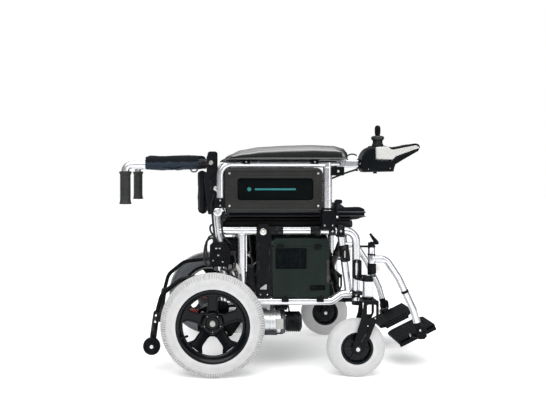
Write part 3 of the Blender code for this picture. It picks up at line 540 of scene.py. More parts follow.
def make_materials():
    faint = {"Sheen_Weight": 0.03, "Sheen_Roughness": 0.4}
    painted(
        "silver_tube", (0.66, 0.665, 0.69), 0.22, 0.85, 0.02, (0.5, 0.5, 0.5), 0.12, Coat_Weight=0.6,
        Coat_Roughness=0.08,
    )
    painted("zinc", (0.74, 0.73, 0.7), 0.28, 1.0, 0.2, (0.9, 0.9, 0.9), 0.5)
    painted("black_coat", (0.0045, 0.005, 0.0058), 0.33, 0.0, 0.35, (0.16, 0.16, 0.17), 0.3, specular=0.08)
    painted("motor_paint", (0.62, 0.63, 0.64), 0.38, 0.7, 0.6, (0.8, 0.8, 0.8), 0.5)
    painted("gear_paint", (0.022, 0.024, 0.027), 0.42, 0.2, 0.7, (0.25, 0.25, 0.25), 0.5, specular=0.3)
    moulded("black_plastic", (0.0026, 0.0034, 0.0044), 0.36, dust=0.015, specular=0.08)
    moulded("gloss_rim", (0.0022, 0.003, 0.0042), 0.22, 0.06, 800.0, 0.01, specular=0.18)
    moulded("battery_shell", (0.007, 0.013, 0.0108), 0.42, 0.4, 1000.0, 0.02, specular=0.12)
    # Darker look for the vent inset's floor, also used as painted shade on the handle slot's floor
    moulded("battery_inset_and_slot_shade", (0.0012, 0.0022, 0.0028), 0.55, 0.5, 900.0, 0.01, specular=0.04)
    moulded("panel_grey", (0.013, 0.0125, 0.012), 0.36, 0.3, dust=0.03, specular=0.25)
    moulded("panel_black", (0.0014, 0.0026, 0.0028), 0.5, 0.5, 900.0, 0.01, specular=0.04)
    moulded("light_shell", (0.43, 0.43, 0.415), 0.38, 0.12, 1800.0, 0.05)
    moulded("white_plastic", (0.34, 0.34, 0.33), 0.45, 0.15)
    moulded("red_lever", (0.19, 0.012, 0.01), 0.42, 0.2)
    moulded("teal_stripe", (0.006, 0.13, 0.14), 0.4, 0.1)
    moulded("dim_label", (0.03, 0.026, 0.024), 0.5, 0.1, specular=0.2)
    moulded("grip_rubber", (0.017, 0.0175, 0.018), 0.6, 0.6, 700.0, 0.06, specular=0.3)
    moulded("wire_black", (0.005, 0.0055, 0.006), 0.45, 0.1, dust=0.04, specular=0.3)
    moulded("wire_grey", (0.1, 0.1, 0.105), 0.45, 0.1)
    moulded("wire_red", (0.05, 0.006, 0.006), 0.4, 0.1, specular=0.3)
    moulded("button_grey", (0.035, 0.038, 0.042), 0.45, 0.2, dust=0.05)
    moulded("green_mark", (0.05, 0.45, 0.12), 0.4, 0.1)
    woven("upholstery_seat", (0.004, 0.0048, 0.0062), (0.012, 0.014, 0.018), 0.0013, **faint, specular=0.06)
    woven(
        "upholstery_back", (0.004, 0.0048, 0.0062), (0.012, 0.014, 0.018), 0.0013, True, **faint,
        specular=0.06,
    )
    woven(
        "upholstery_blue", (0.01, 0.016, 0.026), (0.03, 0.042, 0.06), 0.0015, Sheen_Weight=0.06,
        Sheen_Roughness=0.4, specular=0.15,
    )
    woven("webbing", (0.0045, 0.005, 0.006), (0.02, 0.02, 0.02), 0.0016, Sheen_Weight=0.03, specular=0.12)
    woven("piping", (0.05, 0.052, 0.06), (0.1, 0.1, 0.11), 0.001, Sheen_Weight=0.05, specular=0.2)

    tyre = (0.47, 0.47, 0.475)
    n = Nodes("tyre_grey", tyre, 0.72)
    grime = n.ramp(n.noise(38.0, 8.0, 0.75), 0.42, 0.72)
    base = n.mix(n.noise(12.0, 5.0), tinted(tyre, 0.9), tinted(tyre, 1.08))
    base = n.mix(n.times(grime, 0.3), base, (0.27, 0.25, 0.22))
    base = n.mix(n.times(n.edges(0.52, 0.58), 0.35), base, (0.6, 0.6, 0.6))
    across = n.add("ShaderNodeSeparateXYZ", {0: n.place}).outputs["Y"]
    # Painted shade: a mask of the drive tyres' inner sidewalls, which are darkened below
    inner = n.times(
        n.ramp(n.math("ABSOLUTE", across), 0.276, 0.268), n.ramp(n.radius_from_axle(), 0.17, 0.165),
    )
    n.set("Base Color", n.mix(inner, base, (0.1, 0.11, 0.12)))  # painted shade: the drive tyres' inner walls are made darker
    n.set("Roughness", n.ramp(grime, 0, 1, 0.62, 0.85))
    n.bump((n.noise(160.0, 5.0), 0.15, 0.001), (n.noise(1500.0, 3.0), 0.3, 0.0003))

    skin_colour = (0.0045, 0.0058, 0.0055)
    n = Nodes("pad_skin", skin_colour, 0.18, 0.0, specular=0.7, Coat_Weight=1.0, Coat_Roughness=0.05)
    n.set("Base Color", n.mix(n.noise(16.0, 5.0), tinted(skin_colour, 0.7), tinted(skin_colour, 1.5)))
    n.set("Roughness", n.ramp(n.noise(30.0, 6.0, 0.7), 0.3, 0.7, 0.12, 0.22))
    n.bump((n.cells(420.0), 0.04, 0.0003), (n.noise(1600.0, 2.0), 0.04, 0.0002))

    n = Nodes("boot_rubber", (0.005, 0.0055, 0.006), 0.5)
    n.set("Base Color", n.mix(n.noise(50.0, 5.0), (0.004, 0.0045, 0.005), (0.01, 0.011, 0.012)))
    n.bump((n.noise(1200.0, 3.0), 0.3, 0.0003))

    n = Nodes("floor", (0.9, 0.9, 0.9), 0.6)
    n.set("Base Color", n.mix(n.noise(3.0, 6.0), (0.885, 0.887, 0.89), (0.905, 0.905, 0.905)))
    n.set("Roughness", n.ramp(n.noise(20.0, 4.0), 0.3, 0.7, 0.55, 0.7))
    n.bump((n.noise(400.0, 3.0), 0.08, 0.0004))
    n.shader.inputs["Emission Color"].default_value = (1, 1, 1, 1)
    n.shader.inputs["Emission Strength"].default_value = 0.28


make_materials()


# ---------------------------------------------------------------- camera, light, floor


def stage():
    camera = bpy.data.cameras.new("camera")
    camera.lens, camera.sensor_width = 44.97, 36.0
    camera.shift_x, camera.shift_y = 0.13, -0.0586
    eye = linked("camera", camera)
    eye.location = (AXLE_X - 0.032, -2.35, 0.62)
    eye.rotation_euler = (radians(90), 0, 0)
    SCENE.camera = eye

    lamps = (  # name, place, aim, width, height, watts
        ("key", (-1.5, -2.1, 2.1), (0.0, 0.0, 0.35), 1.4, 1.2, 13),
        ("strip", (0.45, -1.45, 1.95), (0.2, -0.25, 0.66), 2.4, 0.3, 9),
        ("top", (0.1, 0.1, 2.6), (0.0, 0.0, 0.3), 2.4, 1.6, 22),
        ("front", (1.9, -1.9, 1.1), (0.1, 0.0, 0.3), 0.9, 1.6, 13),
        ("back", (-1.2, 2.3, 1.6), (0.0, 0.0, 0.4), 1.6, 1.2, 10),
    )
    for name, place, aim, width, height, watts in lamps:
        light = bpy.data.lights.new(name, "AREA")
        light.shape, light.size, light.size_y, light.energy = "RECTANGLE", width, height, watts
        lamp = linked(name, light)
        lamp.location = place
        lamp.rotation_euler = (Vector(aim) - Vector(place)).to_track_quat("-Z", "Y").to_euler()
    light = bpy.data.lights.new("ceiling", "SUN")
    light.energy, light.angle = 2.3, radians(58)
    lamp = linked("ceiling", light)
    lamp.rotation_euler = (radians(33), radians(-8), 0)

    # White behind the object, and a dimmer room, brightest overhead, for all that it lights
    world = bpy.data.worlds.new("studio")
    SCENE.world = world
    world.use_nodes = True
    nodes, links = world.node_tree.nodes, world.node_tree.links
    room, white = nodes["Background"], nodes.new("ShaderNodeBackground")
    white.inputs["Color"].default_value = (1, 1, 1, 1)
    height = nodes.new("ShaderNodeSeparateXYZ")
    links.new(nodes.new("ShaderNodeTexCoord").outputs["Generated"], height.inputs[0])
    fall = nodes.new("ShaderNodeMapRange")
    links.new(height.outputs["Z"], fall.inputs["Value"])
    for socket, value in (("From Min", 0.0), ("From Max", 0.9), ("To Min", 0.09), ("To Max", 0.5)):
        fall.inputs[socket].default_value = value
    links.new(fall.outputs["Result"], room.inputs["Strength"])
    room.inputs["Color"].default_value = (0.97, 0.985, 1, 1)
    either = nodes.new("ShaderNodeMixShader")
    links.new(nodes.new("ShaderNodeLightPath").outputs["Is Camera Ray"], either.inputs["Fac"])
    links.new(room.outputs[0], either.inputs[1])
    links.new(white.outputs[0], either.inputs[2])
    links.new(either.outputs[0], nodes["World Output"].inputs["Surface"])
    SCENE.view_settings.view_transform = "Standard"

    grid = bmesh.new()
    bmesh.ops.create_grid(grid, x_segments=8, y_segments=8, size=14.0)
    bmesh.ops.translate(grid, vec=(0, 0, -0.0002), verts=grid.verts)
    mesh = bpy.data.meshes.new("studio_floor")
    grid.to_mesh(mesh)
    grid.free()
    floor = linked("studio_floor", mesh)
    mesh.materials.append(LOOKS["floor"])


stage()


# ---------------------------------------------------------------- wheels


def smoothstep(t):
    t = min(1, max(0, t))
    return t * t * (3 - 2 * t)


def turns(count):
    return [2 * pi * i / count for i in range(count)]


def circle(x, z, radius, count):
    return [(x + radius * cos(a), z + radius * sin(a)) for a in turns(count)]


def spokes(count, turn=0):
    """Directions spread evenly round the wheels' axis."""
    return [Vector((cos(a + turn), 0, sin(a + turn))) for a in turns(count)]


def sidewall_rings(hub, rings, thickness, steps):
    for side in (-1, 1):
        for radius, rise in rings:
            path = [hub + Vector((x, side * rise, z)) for x, z in circle(0, 0, radius, steps)]
            sweep(path, thickness, 6, wrap=True)


def mirrored(profile):
    """A profile's half at negative distances, completed with its mirror image."""
    return profile + [(radius, -along) for radius, along in profile[::-1]]


def crown(outer, inner, half, bulge, points):
    """A tyre's section as a closed loop, from one bead over the tread to the other."""
    loop = []
    for i in range(points):
        a = pi * i / (points - 1)
        loop.append((inner + (outer - inner) * sin(a) ** bulge, half * cos(a)))
    return loop


def rear_wheels():
    lugs, per_lug = 132, 4

    def lugged(a, radius, along):
        """Shoulder lugs with notches between them, and a zigzag groove round the tread."""
        phase = (a / (2 * pi) * lugs) % 1
        side = along / 28
        shoulder = smoothstep((radius - 140) / 6) * smoothstep((abs(side) - 0.3) / 0.14)
        notch = 3.4 if phase > 0.66 else 0
        sway = 0.1 * (1 if phase < 0.5 else -1)
        groove = 1.8 * (abs(abs(side + sway * 0.3) - 0.3) < 0.07)
        radius -= shoulder * notch + groove * smoothstep((radius - 150) / 4)
        return radius, along * (1 - 0.06 * shoulder * (phase > 0.66))

    profile = crown(158.8, 112.4, 27.8, 0.6, 31)
    lathe(profile, on_axis(WHEEL), lugs * per_lug, lugged)
    sidewall_rings(WHEEL, ((120.5, 26.8), (130, 26.2)), 0.9, 96)
    pair("drive_tyre", "wheel", "tyre", "tyre_grey", ["tyre"], sharp=50, even=False)

    barrel = [(111.8, -26.2), (112.8, -25), (111.8, -20), (111.8, 20), (112.6, 22.2), (110, 23.2)]
    barrel += [(101, 22.2), (97.5, 5), (93, -2), (90.5, -5), (90.5, -12)]
    barrel += [(92.5, -14), (96, -15), (100, -21.5), (105, -26.2), (109, -27.2)]
    lathe(barrel, on_axis(WHEEL), 96)
    # Spokes: five dished channels with raised edges, wider where they meet the rim and the hub
    face = -266.5 - WHEEL.y
    section = [(-1, 3), (-1, -3.5), (-0.9, -5.2), (-0.74, -5.2), (-0.66, -2.8), (0, -1.6)]
    section += [(-u, h) for u, h in section[4::-1]]
    for i in range(5):
        a = radians(90 + 72 * i)
        out, side = Vector((cos(a), 0, sin(a))), Vector((-sin(a), 0, cos(a)))
        rings = []
        for k in range(23):
            r = 29 + 65.5 * k / 22
            half = 15.8 + 13 * smoothstep((r - 68) / 26) ** 1.6 + 5.2 * (1 - smoothstep((r - 29) / 20))
            middle = WHEEL + out * r + Vector((0, face + 17 - 0.2 * (r - 29), 0))
            rings.append([bm.verts.new(middle + side * (half * u) + Vector((0, h, 0))) for u, h in section])
        skin(rings)
    hub = [(10, 18), (10, 4.5), (18.5, 4.5), (20, 1), (23.5, -1.2), (29, -1.2)]
    hub += [(33, 1), (35, 6), (35, 20), (32, 23.5)]
    lathe(hub, on_axis(WHEEL + Vector((0, face + 4, 0))), 64)
    pair("drive_rim", "wheel", "rim", "gloss_rim", ["rim"], sharp=40)

    centre = WHEEL + Vector((0, face + 8.5, 0))
    bolt(centre, OUT, 5.6, 6)
    for i in range(5):
        a = radians(90 + 36 + 72 * i)
        screw(WHEEL + Vector((26.2 * cos(a), face + 3, 26.2 * sin(a))), OUT, 1.8)
    pair("wheel_nut", "wheel", "black_steel", "zinc")

    a = radians(200)
    out = Vector((cos(a), 0, sin(a)))
    seat = WHEEL + out * 108.5 + Vector((0, -21, 0))
    sweep([seat, seat - out * 6 + OUT, seat - out * 21 + OUT * 3], [4.2, 3, 2.7], 14)
    bar(seat - out * 20 + OUT * 3, seat - out * 30 + OUT * 4.5, 3.8, 14, 1)
    pair("tyre_valve", "wheel", "black_plastic", "black_plastic")


def casters():
    def ribbed(_, radius, along):
        """Two shallow grooves round the tread, and a mould line along its middle."""
        side = abs(along) / 22
        groove = (abs(side - 0.42) < 0.07) * smoothstep((radius - 83) / 2)
        return radius - groove + 0.4 * (side < 0.03), along

    lathe(crown(88.8, 49.4, 21.8, 0.58, 29), on_axis(CASTER), 128, ribbed)
    sidewall_rings(CASTER, ((59, 20.5), (68, 19.7)), 0.7, 72)
    pair("caster_tread", "caster_wheel", "tyre", "tyre_grey", ["caster_tyre"], sharp=50, even=False)

    disc = mirrored([
        (5.6, -22.8), (12, -22.8), (14, -21.5), (15, -15), (17, -12.5), (37.5, -10.5), (40.5, -13.5),
        (43, -18.8), (47.5, -19.2), (49.2, -18),
    ])
    lathe(disc, on_axis(CASTER), 72)
    for out in spokes(6):
        for side in (-1, 1):
            ends = [CASTER + out * 14.5 + OUT * side * 14.5, CASTER + out * 41.5 + OUT * side * 12]
            sweep(ends, [3, 2.4], 8)
    pair("caster_disc", "caster_wheel", "rim", "gloss_rim", ["caster_hub"], sharp=40)

    leg = [(-18, 0), (-10, -16), (8, -17.5), (19, -4), (53, 77), (63, 101)]
    leg += [(63, 147), (19, 147), (13, 101)]
    outline = flat([(CASTER.x + x, CASTER.z + z) for x, z in leg], [10, 12, 12, 10, 20, 20, 4, 4, 20], 5)
    window = rect((STEM_X - 9, 183), (STEM_X + 18.5, 223.5), 5, 4)
    for side in (-1, 1):
        near, far = CASTER.y + side * 25.5, CASTER.y + side * 30.5
        slab([outline, window], min(near, far), max(near, far), "Y", 1)
        rib = [(CASTER.x + 2, CASTER.z + 10), (STEM_X + 8, 168)]
        sweep([(x, far, z) for x, z in rib], 2.2, 8)
        bar(CASTER + OUT * -side * 29, CASTER + OUT * -side * 32, 11, 24, 0.8)
    block((STEM_X - 18, CASTER.y - 30, 226.2), (STEM_X + 25, CASTER.y + 30, 235), 2, 3)
    bar((STEM_X, CASTER.y, 234), (STEM_X, CASTER.y, 239.2), 15, 28, 0.8)
    pair("caster_leg", "caster_fork", "black_steel", "black_coat", ["caster_fork"])

    bolt(CASTER + OUT * 31.8, OUT, 4, 3)
    bolt(CASTER - OUT * 31.8, -OUT, 4, 3)
    bar(CASTER + OUT * 24, CASTER - OUT * 24, 5, 16)
    bar((STEM_X, CASTER.y, 239), (STEM_X, CASTER.y, 309), 7.6, 20)
    bolt((STEM_X, CASTER.y, 300.5), UP, 8.8, 5.5)
    for x, z in ((CASTER.x + 30, 160), (CASTER.x + 52, 183)):
        screw((x, CASTER.y - 30.3, z), OUT, 2.6)
    pair("caster_bolts", "caster_fork", "black_steel", "zinc")

    place = on_axis((STEM_X, CASTER.y, 0), "Z")
    barrel = [(9, 240.2), (16, 240.2), (16.8, 241), (16.8, 247), (16, 248), (16, 292)]
    barrel += [(16.8, 293), (16.8, 299), (16, 299.8), (9, 299.8)]
    lathe(barrel, place, 40)
    pair("caster_barrel", "frame", "frame_tube", "silver_tube", sharp=40)
    for low, high in ((240.2, 245), (290, 299.8)):
        lathe([(16.2, low), (17, low + 0.8), (17, high - 0.8), (16.2, high)], place, 40)
    lathe([(10, 299.8), (15, 299.8), (15, 305), (10, 307.8)], place, 36)
    pair("barrel_caps", "frame", "black_plastic", "black_plastic")


# ---------------------------------------------------------------- side frames


def cane_x(height):
    return 41 * (1 - (height - 219.5) / (636 - 219.5))


def frame_line(points, bend):
    return fillet([(x, FRAME_Y, z) for x, z in points], bend, 8)


def side_frames():
    lines = (
        ([(cane_x(TOP_Z), TOP_Z), (POST_X, TOP_Z), (POST_X, 209)], 35, FRAME_R),
        ([(0.2, 634.5), (41.5, 207.5)], 35, FRAME_R),
        ([(41, LOW_Z), (373, LOW_Z), (405, FRONT_Z), (450, FRONT_Z)], 18, FRAME_R),
        ([(92.6, TOP_Z), (92.6, LOW_Z)], 10, FRAME_R),
        ([(401, TOP_Z), (428, FRONT_Z)], 10, 11.5),
    )
    for points, bend, radius in lines:
        sweep(frame_line(points, bend), radius, 28, first=(0, 1, 0))
    welds = (
        ((92.6, FRAME_Y, TOP_Z - FRAME_R), UP, FRAME_R),
        ((92.6, FRAME_Y, LOW_Z + FRAME_R), UP, FRAME_R),
        ((54.5, FRAME_Y, LOW_Z), ALONG, FRAME_R),
        ((31.5, FRAME_Y, TOP_Z), ALONG, FRAME_R),
        ((402.5, FRAME_Y, TOP_Z - FRAME_R), UP, 11.5),
        ((426.5, FRAME_Y, FRONT_Z + FRAME_R), UP, 11.5),
        ((437.5, FRAME_Y, FRONT_Z), ALONG, FRAME_R),
    )
    for at, direction, radius in welds:
        bead(at, direction, radius, 1.8)
    bar((ARM_PIVOT.x, FRAME_Y, 500), (ARM_PIVOT.x, ARM_Y - 17, 500), 4.8, 20)
    pair("frame_tubes", "frame", "frame_tube", "silver_tube", ["side_frame"], sharp=60, even=False)

    foot = [(-46, 125), (-20, 108), (60, 108), (118, 190), (118, LOW_Z), (20, LOW_Z), (-46, 192)]
    hole = circle(0, WHEEL.z, 30.5, 48)
    slot = rect((52, 176), (92, 200), 6, 4)
    slab([flat(foot, 12, 5), hole, slot], -216, -210, "Y", 1.2)
    arm = [
        (STEM_X - 12, CASTER.y), (STEM_X + 12, CASTER.y + 4), (POST_X + 12, FRAME_Y),
        (POST_X - 12, FRAME_Y),
    ]
    for low in (244, 288):
        slab(flat(arm), low, low + 8, "Z", 1)
    for x in (108, POST_X):
        block((x - 4, -210.5, 208), (x + 4, -174.5, 231), 1.5)
    for x in (72, 352):
        block((x - 12, -210, 430), (x + 12, -177.5, 446.8), 3, 3)
    for low in (295, 387):
        slab(rect((POST_X, -217.5), (HANGER_X + 12, -198.5), 6), low, low + 5, "Z", 1)
    # Clamps and end fittings on the tubes
    fittings = (  # x, z, half length along the tube, radius, direction
        (POST_X, 214.5, 7, 14.2, UP),
        (39.5, 214, 7, 14, UP),
        (414.5, 369, 26, 15.5, Vector((-13.5, 0, 98.8))),
        (448, FRONT_Z, 13, 15, ALONG),
        (179.5, TOP_Z, 42, 14, ALONG),
        (158, TOP_Z, 15, 15.8, ALONG),
        (322, TOP_Z, 16, 14.5, ALONG),
        (374, TOP_Z, 11, 15, ALONG),
    )
    for x, z, half, radius, direction in fittings:
        at, way = Vector((x, FRAME_Y, z)), direction.normalized()
        bar(at - way * half, at + way * half, radius, 32, 1.5)
    block((388, FRAME_Y - 15, 420), (413, FRAME_Y + 15, 458), 3, 3)
    slotted = rect((435.5, 291.5), (464.5, 350.5), 6, 5)
    slab([slotted, rect((443.5, 300.5), (454.5, 341.5), 4, 4)], FRAME_Y - 18.5, FRAME_Y - 11.5, "Y", 1.4)
    # Upright plate between the rails, just behind the battery
    upright = flat([(137, 233.5), (184, 233.5), (184, 427), (174, 460), (142, 460), (137, 427)], 6, 4)
    slab(upright, FRAME_Y - 16, FRAME_Y - 11.8, "Y", 1.4)
    for x in (144, 177):
        block((x - 1.4, FRAME_Y - 17.2, 245), (x + 1.4, FRAME_Y - 15, 415), 1, 2)
    block((108.5, FRAME_Y - 2, 236), (133, FRAME_Y + 11.5, 333), 4, 3)
    pair("frame_fittings", "frame", "black_steel", "black_coat")

    # A light wedge at the plate's foot, a painted highlight on its notch, and a slot mark on the strut's
    # sleeve
    wedge = flat([(144, 258), (169, 258), (169, 276)], 2, 3)
    slab(wedge, FRAME_Y - 17.8, FRAME_Y - 15, "Y", 0.8)
    block((410.5, FRAME_Y - 16.8, 356), (414, FRAME_Y - 14.5, 378), 0.8, 2)
    pair("frame_highlight_and_mark", "frame", "light_plastic", "white_plastic")

    for x, z in ((-30, 180), (100, 205), (40, 118), (-22, 122)):
        bolt((x, -216, z), OUT, 5, 3.5)
    for z in (295.5, 346):
        screw((449, FRAME_Y - 18, z + 0.5), OUT, 2)
    for x in (150, 171):
        screw((x, FRAME_Y - 15.8, 242), OUT, 2.6)
    disc = [(0, 0), (10, 0), (10, 1.6), (8.8, 2.4), (5, 2.4), (4.6, 1), (0, 0.8)]
    lathe(disc, facing((158, FRAME_Y - 16, TOP_Z - 2), OUT), 40)
    screw((158, FRAME_Y - 17, TOP_Z - 2), OUT, 4.4)
    for x in (374, 400):
        screw((x, FRAME_Y - 14.8, TOP_Z), OUT, 3.6)
    for z in (297.5, 389.5):
        bar((HANGER_X, HANGER_Y, z - 3), (HANGER_X, HANGER_Y, z + 3), 6.2, 18)
    bolt((448, FRAME_Y - 14.8, FRONT_Z), OUT, 4, 2.6, False)
    for way in (-1, 1):
        end = BACK_HINGE + OUT * way * 17
        bolt(end, OUT * way, 4.6, 3)
    bolt(ARM_PIVOT + OUT * 15, OUT, 5.2, 3)
    for x in (374, 158):
        bar((x, FRAME_Y, TOP_Z + 14.5), (x, FRAME_Y, TOP_Z + 17.5), 4.5, 6, 0.3)
    pair("frame_fasteners", "frame", "black_steel", "zinc")

    # Back hinge: a clevis of two ears on a block, and the sleeve below it
    ear = rect((-15, 598.5), (16.5, 687.2), 9, 6)
    for way in (-1, 1):
        wall = FRAME_Y + way * 15.2
        slab(ear, wall - 1.6, wall + 1.6, "Y", 0.8)
    block((-12.5, FRAME_Y - 15, 600), (16.5, FRAME_Y + 15, 622), 2, 3)
    x = cane_x(578)
    block((x - 16.5, FRAME_Y - 16.5, 562), (x + 16.5, FRAME_Y + 16.5, 601), 4, 3)
    pair("back_knuckle", "frame", "black_steel", "black_coat")
    at = Vector((cane_x(574) + 4, FRAME_Y - 16.5, 572))
    bar(at, at + OUT * 4.5, 6.8, 24, 1)
    sweep(
        [at + OUT * 3, at + OUT * 4.5 + ALONG * 6 - UP * 10, at + OUT * 4 + ALONG * 12 - UP * 24],
        [3.8, 3.4, 4], 12,
    )
    pair("back_release", "frame", "black_steel", "zinc")

    # Armrest socket: cradle, two cheeks, and the ears that carry the latch
    block((ARM_POST_X - 20, ARM_Y - 19.5, 446), (ARM_POST_X + 20, ARM_Y + 31.5, 466), 2.5, 3)
    for way in (-1, 1):
        wall = ARM_Y + way * 17.2
        cheek = flat(
            [(335, 450), (373, 450), (373, 477), (387, 477), (387, 495), (373, 495), (373, 505), (335, 505)],
            3, 3,
        )
        slab(cheek, wall - 2.2, wall + 2.2, "Y", 1)
    pair("armrest_socket", "frame", "black_plastic", "black_plastic")
    for way in (-1, 1):
        screw(LATCH + OUT * way * 19.4, OUT * way, 3.6)
        for x in (342, 366):
            screw((x, ARM_Y - way * 19.4, 460), OUT * way, 2.8)
    pair("socket_screws", "frame", "black_steel", "zinc")


def cross_frame():
    for letter, foot, (rear, front) in (("a", -1, (146, 403)), ("b", 1, (172, 430))):
        foot_y, head_y = foot * BRACE_Y, -foot * BRACE_Y
        sweep([(32.5, head_y, BRACE_HIGH), (442, head_y, BRACE_HIGH)], 11, 24)
        bar((98.5, foot_y, BRACE_LOW), (460.5, foot_y, BRACE_LOW), 8, 24)
        for x in (rear, front):
            sweep([(x, foot_y, BRACE_LOW), (x, head_y, BRACE_HIGH)], 11, 24)
            bead((x, head_y + 8 * foot, BRACE_HIGH - 5), Vector((0, foot, -0.64)), 11, 1.6)
            way = Vector((0, head_y - foot_y, BRACE_HIGH - BRACE_LOW)).normalized()
            bar(Vector((x, 0, PIVOT_Z)) - way * 20, Vector((x, 0, PIVOT_Z)) + way * 20, 12.4, 24, 2)
        for x in (rear - 17, front + 17):
            bar((x - 3, foot_y, BRACE_LOW), (x + 3, foot_y, BRACE_LOW), 9.8, 20)
        put(
            f"scissor_brace_{letter}", f"brace_{letter}", "black_steel", "black_coat",
            [f"cross_brace_{letter}"], sharp=50,
        )
        for x in (33, 441.6):
            bar((x - 1.2, head_y, BRACE_HIGH), (x + 1.2, head_y, BRACE_HIGH), 11.2, 24, 0.8)
        for i in range(6):
            x = 80 + i * 64
            screw((x, head_y, BRACE_HIGH + 10.4), UP, 3)
        put(f"brace_trim_{letter}", f"brace_{letter}", "black_plastic", "black_plastic")
    bar((122.5, 0, PIVOT_Z), (445.5, 0, PIVOT_Z), 4.5, 20)
    for x, way in ((133, -1), (185, 1), (390, -1), (442, 1)):
        bolt((x, 0, PIVOT_Z), ALONG * way, 7.5, 4)
    put("brace_bolt", "brace_a", "black_steel", "zinc", ["cross_pivot_bolt"])


rear_wheels()
casters()
side_frames()
cross_frame()


# ---------------------------------------------------------------- drive


def drive_units():
    motor = Vector((0, -170, 146))

    def across(profile):
        lathe(profile, on_axis(motor, "X"), 56)

    # Gearbox, painted dark, with its bolted cover and cooling rings
    box = [(0, -209.4), (46, -209.4), (48, -207.4), (48, -198.5), (46.5, -197.5), (46.5, -180)]
    box += [(48, -179), (48, -172), (45.5, -170), (45.5, -158), (43, -151), (30, -150.2)]
    box += [(28, -151.5), (0, -151.5)]
    lathe(box, on_axis((0, 0, WHEEL.z)), 64)
    bar((0, -237.5, WHEEL.z), (0, -208, WHEEL.z), 29.3, 48, 1.5)
    bar((10, motor.y, motor.z), (34, motor.y, motor.z), 37, 48, 3)
    for out in spokes(6):
        bar(Vector((0, -209, WHEEL.z)) + out * 42.5, Vector((0, -170, WHEEL.z)) + out * 42.5, 5.5, 14)
    flange = [(0, 216), (37.2, 216), (37.5, 217), (37.5, 230), (36.5, 231.6), (0, 231.6)]
    across(flange)
    flange = [(0, 34), (37.2, 34), (37.5, 35.2), (37.5, 44), (36.5, 45.2), (0, 45.2)]
    across(flange)
    block((150, -207, 110), (205, -135, 121.5), 2.5, 3)
    pair("gearbox", "frame", "motor_metal", "gear_paint", ["gear_motor"])

    # The motor's can, with rolled lines
    can = [(0, 44), (36.4, 44)]
    for x in (58, 66, 120, 180, 190, 200):
        can += [(36.4, x), (35.2, x + 0.8), (35.2, x + 2.2), (36.4, x + 3)]
    across([*can, (36.4, 217), (0, 217)])
    pair("motor_can", "frame", "motor_metal", "motor_paint")

    # Brush caps, rating plate left blank, axle end
    block((202, -208.2, 130), (224, -203, 162), 1.5)
    for x, turn in ((70, 0.6), (70, -0.9)):
        out = Vector((0, -cos(turn), sin(turn)))
        at = Vector((x, motor.y, motor.z)) + out * 34
        bar(at, at + out * 3.2, 8, 24, 0.8)
    bar((0, -271.8, WHEEL.z), (0, -237, WHEEL.z), 8.4, 24)
    pair("motor_fittings", "frame", "motor_metal", "white_plastic")

    # Brake housing with fine fins
    brake = [(0, 230), (32.5, 230), (32.5, 233)]
    for i in range(7):
        x = 234.5 + i * 6.2
        brake += [(30, x), (30, x + 1.6), (32.5, x + 2), (32.5, x + 4.4)]
    across([*brake, (31, 280), (23, 284.8), (18, 284.8), (17, 283.6), (0, 283.6)])
    block((180, -185, 108), (226, -155, 118), 2)
    pair("motor_brake", "frame", "motor_metal", "black_coat")

    for out in spokes(6, 0.5):
        bolt(Vector((0, -170.2, WHEEL.z)) + out * 42.5, -OUT, 3.6, 2.6, False)
    for a in turns(4):
        out = Vector((0, cos(a + 0.8), sin(a + 0.8)))
        screw(motor + ALONG * 231.6 + out * 34.5, ALONG, 2.6)
        screw(motor + ALONG * 284.6 + out * 20, ALONG, 2.4)
    pair("drive_screws", "frame", "motor_metal", "zinc")

    # Wires from the brake and the motor up to the frame
    runs = (
        ([
            (210, -150, 178), (200, -140, 200), (170, -128, 212), (140, -130, 228), (110, -160, 260),
            (86, -172, 310),
        ], 3.2),
        ([
            (250, -150, 170), (240, -138, 200), (180, -120, 216), (120, -124, 232), (85, -150, 280),
            (66, -158, 314),
        ], 2.6),
    )
    for points, radius in runs:
        sweep(spline(points, 8), radius, 10)
    bar((210, -152, 174), (208, -148, 183), 5.2, 16, 1.2)
    bar((250, -152, 164), (249, -148, 175), 4.6, 16, 1.2)
    pair("motor_leads", "frame", "black_plastic", "wire_black")

    # Free-wheel lever
    arm = flat(
        [(10, 168), (14, 176), (2, 184), (-52, 178.5), (-70, 178.5), (-70, 165.5), (-52, 165.5), (-6, 160)],
        3, 4,
    )
    slab(arm, -149.2, -144.8, "Y", 1.2)
    bar((0, -149.6, 171), (0, -143.6, 171), 11.8, 32, 1)
    block((-72.2, -150.7, 163.5), (-54, -138.7, 180.5), 3, 3)
    for i in range(4):
        x = -69.5 + i * 4.2
        block((x, -150.3, 180), (x + 1.8, -139.1, 181.2), 0.4, 1)
    pair("freewheel_lever", "clutch", "lever_plastic", "red_lever", ["clutch_lever"])


